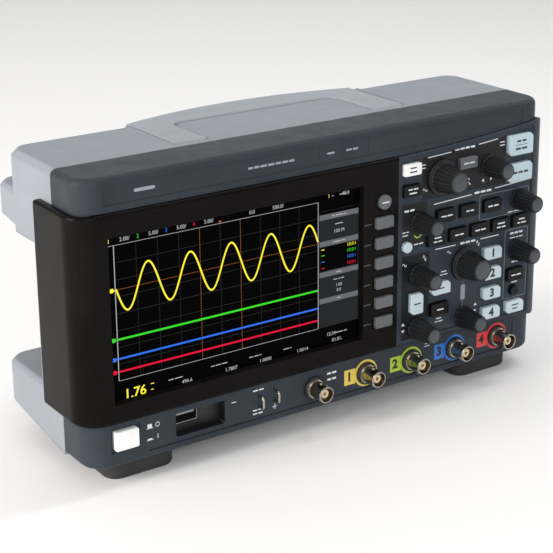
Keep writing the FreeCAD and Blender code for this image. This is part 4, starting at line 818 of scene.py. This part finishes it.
def socket_trim():
    """Insulator, contact and seat of each socket, ring and tab of each input."""
    y = FACE_FRAME
    for i, x in enumerate(BNC_X):
        turned("insulator_%d" % i, x, BNC_Z, [
            (2.5, TIP + 1.95), (2.5, TIP + 8.55), (1.0, TIP + 8.55), (1.0, TIP + 1.95), (1.25, TIP + 1.8),
            (2.3, TIP + 1.8), (2.5, TIP + 1.95)], 32, INSULATOR, "case", "nickel")
        turned("contact_%d" % i, x, BNC_Z, [
            (0.97, TIP + 2.4), (0.97, TIP + 8.5), (0.5, TIP + 8.5), (0.5, TIP + 2.4), (0.97, TIP + 2.4)],
            20, GOLD, "case", "nickel")
        turned("socket_seat_%d" % i, x, BNC_Z, [
            (5.62, y - 2.5), (6.25, y - 2.1), (6.7, y - 1.5), (6.7, y - 0.1), (5.62, y - 0.1),
            (5.62, y - 2.5)], 48, M["black_plastic"], "case", "black_plastic")
    far, near, waist, half = TAB
    for n in (1, 2, 3, 4):
        x = BNC_X[n]
        bm = bmesh.new()
        ring_plate(bm, circle(x, RING_R[0]), circle(x, RING_R[1]), y - RING_LAYER[0], y - RING_LAYER[1])
        piece("ring_%d" % n, bm, RING[n], "case", "frame_plastic")
        bm = bmesh.new()
        prism(bm, [(x - far, BNC_Z - half), (x - near, BNC_Z - half), (x - waist, BNC_Z),
                   (x - near, BNC_Z + half), (x - far, BNC_Z + half)], y - TAB_LAYER[0], y - TAB_LAYER[1])
        piece("tab_%d" % n, bm, RING[n], "case", "frame_plastic")
        text("tab_numeral_%d" % n, "case", str(n), x - 11.7, BNC_Z, 7.6, y - 0.07, INK_BLACK,
             bold=0.34)


socket_trim()


# ----------------------------------------------------------------- linings
SKIN = 0.06               # thickness of the linings
RECESS = 1.9, 28.7        # USB recess, beside the left side of its socket's hole
RECESS_Z = 19.3, 32.7
RECESS_Y = 0.25, 6.0      # behind the frame's face
JACK_Z = 62.0
JACK_OUT = 0.4            # the jacks' reach behind the rear wall
USB_X = 117.0
USB_TONGUE = 5.6, 3.2
JACKS = (                 # name, X, body, mouth, tongue, depth
    ("network", 92.0, (16.0, 13.6), (11.8, 9.0), (7.0, 1.0), 13.0),
    ("usb_device", USB_X, (12.0, 11.0), (8.6, 7.8), USB_TONGUE, 9.0),
)


def around(x, z, w, h):
    return x - w / 2, x + w / 2, z - h / 2, z + h / 2


def rect_ring(bm, outer, inner, y0, y1):
    """Rectangular ring of four slabs, each of the two as x0, x1, z0, z1."""
    ox0, ox1, oz0, oz1 = outer
    ix0, ix1, iz0, iz1 = inner
    for item in ((ox0, ix0, oz0, oz1), (ix1, ox1, oz0, oz1), (ix0, ix1, oz0, iz0), (ix0, ix1, iz1, oz1)):
        slab(bm, *item, y0, y1)


def skinned(bm, mouth, y0, y1):
    """Walls of a recess."""
    x0, x1, z0, z1 = mouth
    rect_ring(bm, mouth, (x0 + SKIN, x1 - SKIN, z0 + SKIN, z1 - SKIN), y0, y1)


def linings():
    """The USB recess in front and the two jacks behind."""
    black = M["black_plastic"], "case", "black_plastic"
    lo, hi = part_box("usb_host_port")
    port = (lo.x * 1000 - 0.3, hi.x * 1000 + 0.3, lo.z * 1000 - 0.3, hi.z * 1000 + 0.3)
    mouth = (port[0] - RECESS[0], port[0] + RECESS[1], *RECESS_Z)
    front, floor = FACE_FRAME + RECESS_Y[0], FACE_FRAME + RECESS_Y[1]
    bm = bmesh.new()
    skinned(bm, mouth, front, floor)
    piece("usb_lining_walls", bm, *black)
    bm = bmesh.new()
    rect_ring(bm, mouth, port, floor - SKIN, floor)
    piece("usb_lining_floor", bm, *black)
    end = REAR_FACE + JACK_OUT
    for name, x, size, mouth, tongue, deep in JACKS:
        inner = around(x, JACK_Z, *mouth)
        bm = bmesh.new()
        rect_ring(bm, around(x, JACK_Z, *size), inner, end, end + SKIN)
        piece(name + "_jack_face", bm, M["nickel"], "case", "nickel")
        bm = bmesh.new()
        skinned(bm, inner, REAR_FACE - deep, end)
        rect_ring(bm, inner, around(x, JACK_Z, *tongue), REAR_FACE - deep, REAR_FACE - deep + SKIN)
        piece(name + "_jack_inside", bm, *black)
    bm = bmesh.new()
    w, h = USB_TONGUE
    slab(bm, *around(USB_X, JACK_Z, w + 2 * SKIN, h + 2 * SKIN), REAR_FACE - 8.9, REAR_FACE - 1.0 + SKIN)
    piece("usb_device_tongue", bm, *black)


linings()


# -------------------------------------------------- label strip, lower panel
STRIP_Z = 153.7, 164.0
STRIP_LINE = 158.9        # height of the print on the strip
DIVIDERS = -9.2, 23.5


def frame_print():
    """Dividers and dashes on the label strip, dashes and sign on the lower panel."""
    y = print_on(FACE_STRIP)
    bm = bmesh.new()
    for x in DIVIDERS:
        slab(bm, x - 0.3, x + 0.3, *STRIP_Z, *y)
    piece("strip_dividers", bm, INK_BLACK, "case", "frame_plastic")
    bm = bmesh.new()
    for x, row, h in ((-40.0, [7.0, 9.0, 12.0], 2.4), (-1.6, [5.0], 2.2), (12.6, [8.0], 2.2)):
        bars(bm, x, STRIP_LINE, [row], h, 1, *y)
    prism(bm, round_rect(-116.0, STRIP_LINE, 12.0, 1.8, 0.9), *y)
    piece("strip_bars", bm, INK_GREY, "case", "frame_plastic")
    y = print_on(FACE_FRAME)
    bm = bmesh.new()
    for x, z, rows, h, pitch in ((BNC_X[0] + 12.4, 29.4, [[6.6], [6.2]], 2.4, 3.6),
                                 (SPLIT - 94.0, 33.2, [[7.0]], 1.6, 1),
                                 (SPLIT - 94.6, 20.6, [[6.4], [6.4]], 1.5, 2.1),
                                 (BNC_X[2] + 12.0, 32.0, [[3.4], [4.0]], 0.8, 1.5),
                                 (SPLIT - 110.0, 30.0, [[3.0]], 1.0, 1)):
        bars(bm, x, z, rows, h, pitch, *y)
    gx, gz = SPLIT - 83.4, 21.0
    stroke(bm, [(gx, gz + 1.6), (gx, gz)], 0.35, *y)
    for k, half in enumerate((1.6, 1.0, 0.4)):
        stroke(bm, [(gx - half, gz - 0.7 * k), (gx + half, gz - 0.7 * k)], 0.3, *y)
    piece("socket_words", bm, INK_WHITE, "case", "frame_plastic")


frame_print()


# ------------------------------------------------------------ floor and light
def studio():
    """Pale floor that curves up behind, soft lamps and an even surround."""
    bm = bmesh.new()
    size, back, r = 6.0, 3.2, 1.2
    steps = 16
    profile = [(-size, 0.0), (back - r, 0.0)]
    profile += [(back - r + r * math.sin(math.pi / 2 * i / steps), r - r * math.cos(math.pi / 2 * i / steps))
                for i in range(1, steps + 1)]
    profile.append((back, size))
    rows = [[bm.verts.new((x, y, z)) for y, z in profile] for x in (-size, size)]
    for i in range(len(profile) - 1):
        bm.faces.new((rows[0][i], rows[1][i], rows[1][i + 1], rows[0][i + 1]))
    mesh = bpy.data.meshes.new("floor")
    bm.to_mesh(mesh)
    bm.free()
    floor = bpy.data.objects.new("floor", mesh)
    for f in mesh.polygons:
        f.use_smooth = True
    bpy.context.scene.collection.objects.link(floor)
    m, _, bsdf = nodes_of("paper")
    bsdf.inputs["Base Color"].default_value = (0.92, 0.92, 0.92, 1)
    bsdf.inputs["Roughness"].default_value = 0.9
    bsdf.inputs["Specular IOR Level"].default_value = 0.1
    mesh.materials.append(m)
    floor.rotation_euler = (0, 0, math.radians(-34))

    def lamp(name, place, aim, power, width, height, tint=(1, 1, 1)):
        data = bpy.data.lights.new(name, "AREA")
        data.shape = "RECTANGLE"
        data.size, data.size_y = width, height
        data.energy = power
        data.color = tint
        ob = bpy.data.objects.new(name, data)
        bpy.context.scene.collection.objects.link(ob)
        ob.location = place
        ob.rotation_euler = (Vector(aim) - Vector(place)).to_track_quat("-Z", "Y").to_euler()
    centre = (0, 0, 0.08)
    lamp("key_top", (0.1, 0.3, 1.7), centre, 3, 1.6, 1.4)
    lamp("edge_strip", (0.68, -0.10, 1.05), centre, 3.5, 0.14, 1.0)
    lamp("side_left", (-1.75, 0.1, 0.5), centre, 36, 0.9, 1.2, (1.0, 0.94, 0.88))
    lamp("fill_front", (-0.7, -1.9, 0.9), centre, 16, 1.4, 1.0)
    lamp("rim_back", (0.4, 1.3, 1.2), centre, 2, 1.4, 0.7)
    world = bpy.data.worlds.new("studio")
    bpy.context.scene.world = world
    world.use_nodes = True
    bg = world.node_tree.nodes["Background"]
    bg.inputs["Color"].default_value = (1, 1, 1, 1)
    bg.inputs["Strength"].default_value = 0.50


studio()


LENS = 100.3
SHIFT = -0.10
TURNS = 33.76, 17.72, -0.55   # yaw, pitch and roll, in degrees
EYE = -0.470, -0.6893, 0.376


def camera():
    """Camera at the front left, a little above, with a small shift."""
    data = bpy.data.cameras.new("camera")
    data.sensor_width = 36
    data.lens = LENS
    data.shift_y = SHIFT
    data.clip_start, data.clip_end = 0.05, 30
    ob = bpy.data.objects.new("camera", data)
    bpy.context.scene.collection.objects.link(ob)
    yaw, pitch, roll = (math.radians(a) for a in TURNS)
    ahead = Vector((math.sin(yaw) * math.cos(pitch), math.cos(yaw) * math.cos(pitch), -math.sin(pitch)))
    right = Vector((math.cos(yaw), -math.sin(yaw), 0))
    up = right.cross(ahead)
    r2 = right * math.cos(roll) + up * math.sin(roll)
    u2 = up * math.cos(roll) - right * math.sin(roll)
    m = Matrix((r2, u2, -ahead)).transposed()
    ob.rotation_euler = m.to_euler()
    ob.location = EYE
    bpy.context.scene.camera = ob


camera()
bpy.context.scene.view_settings.view_transform = "Standard"
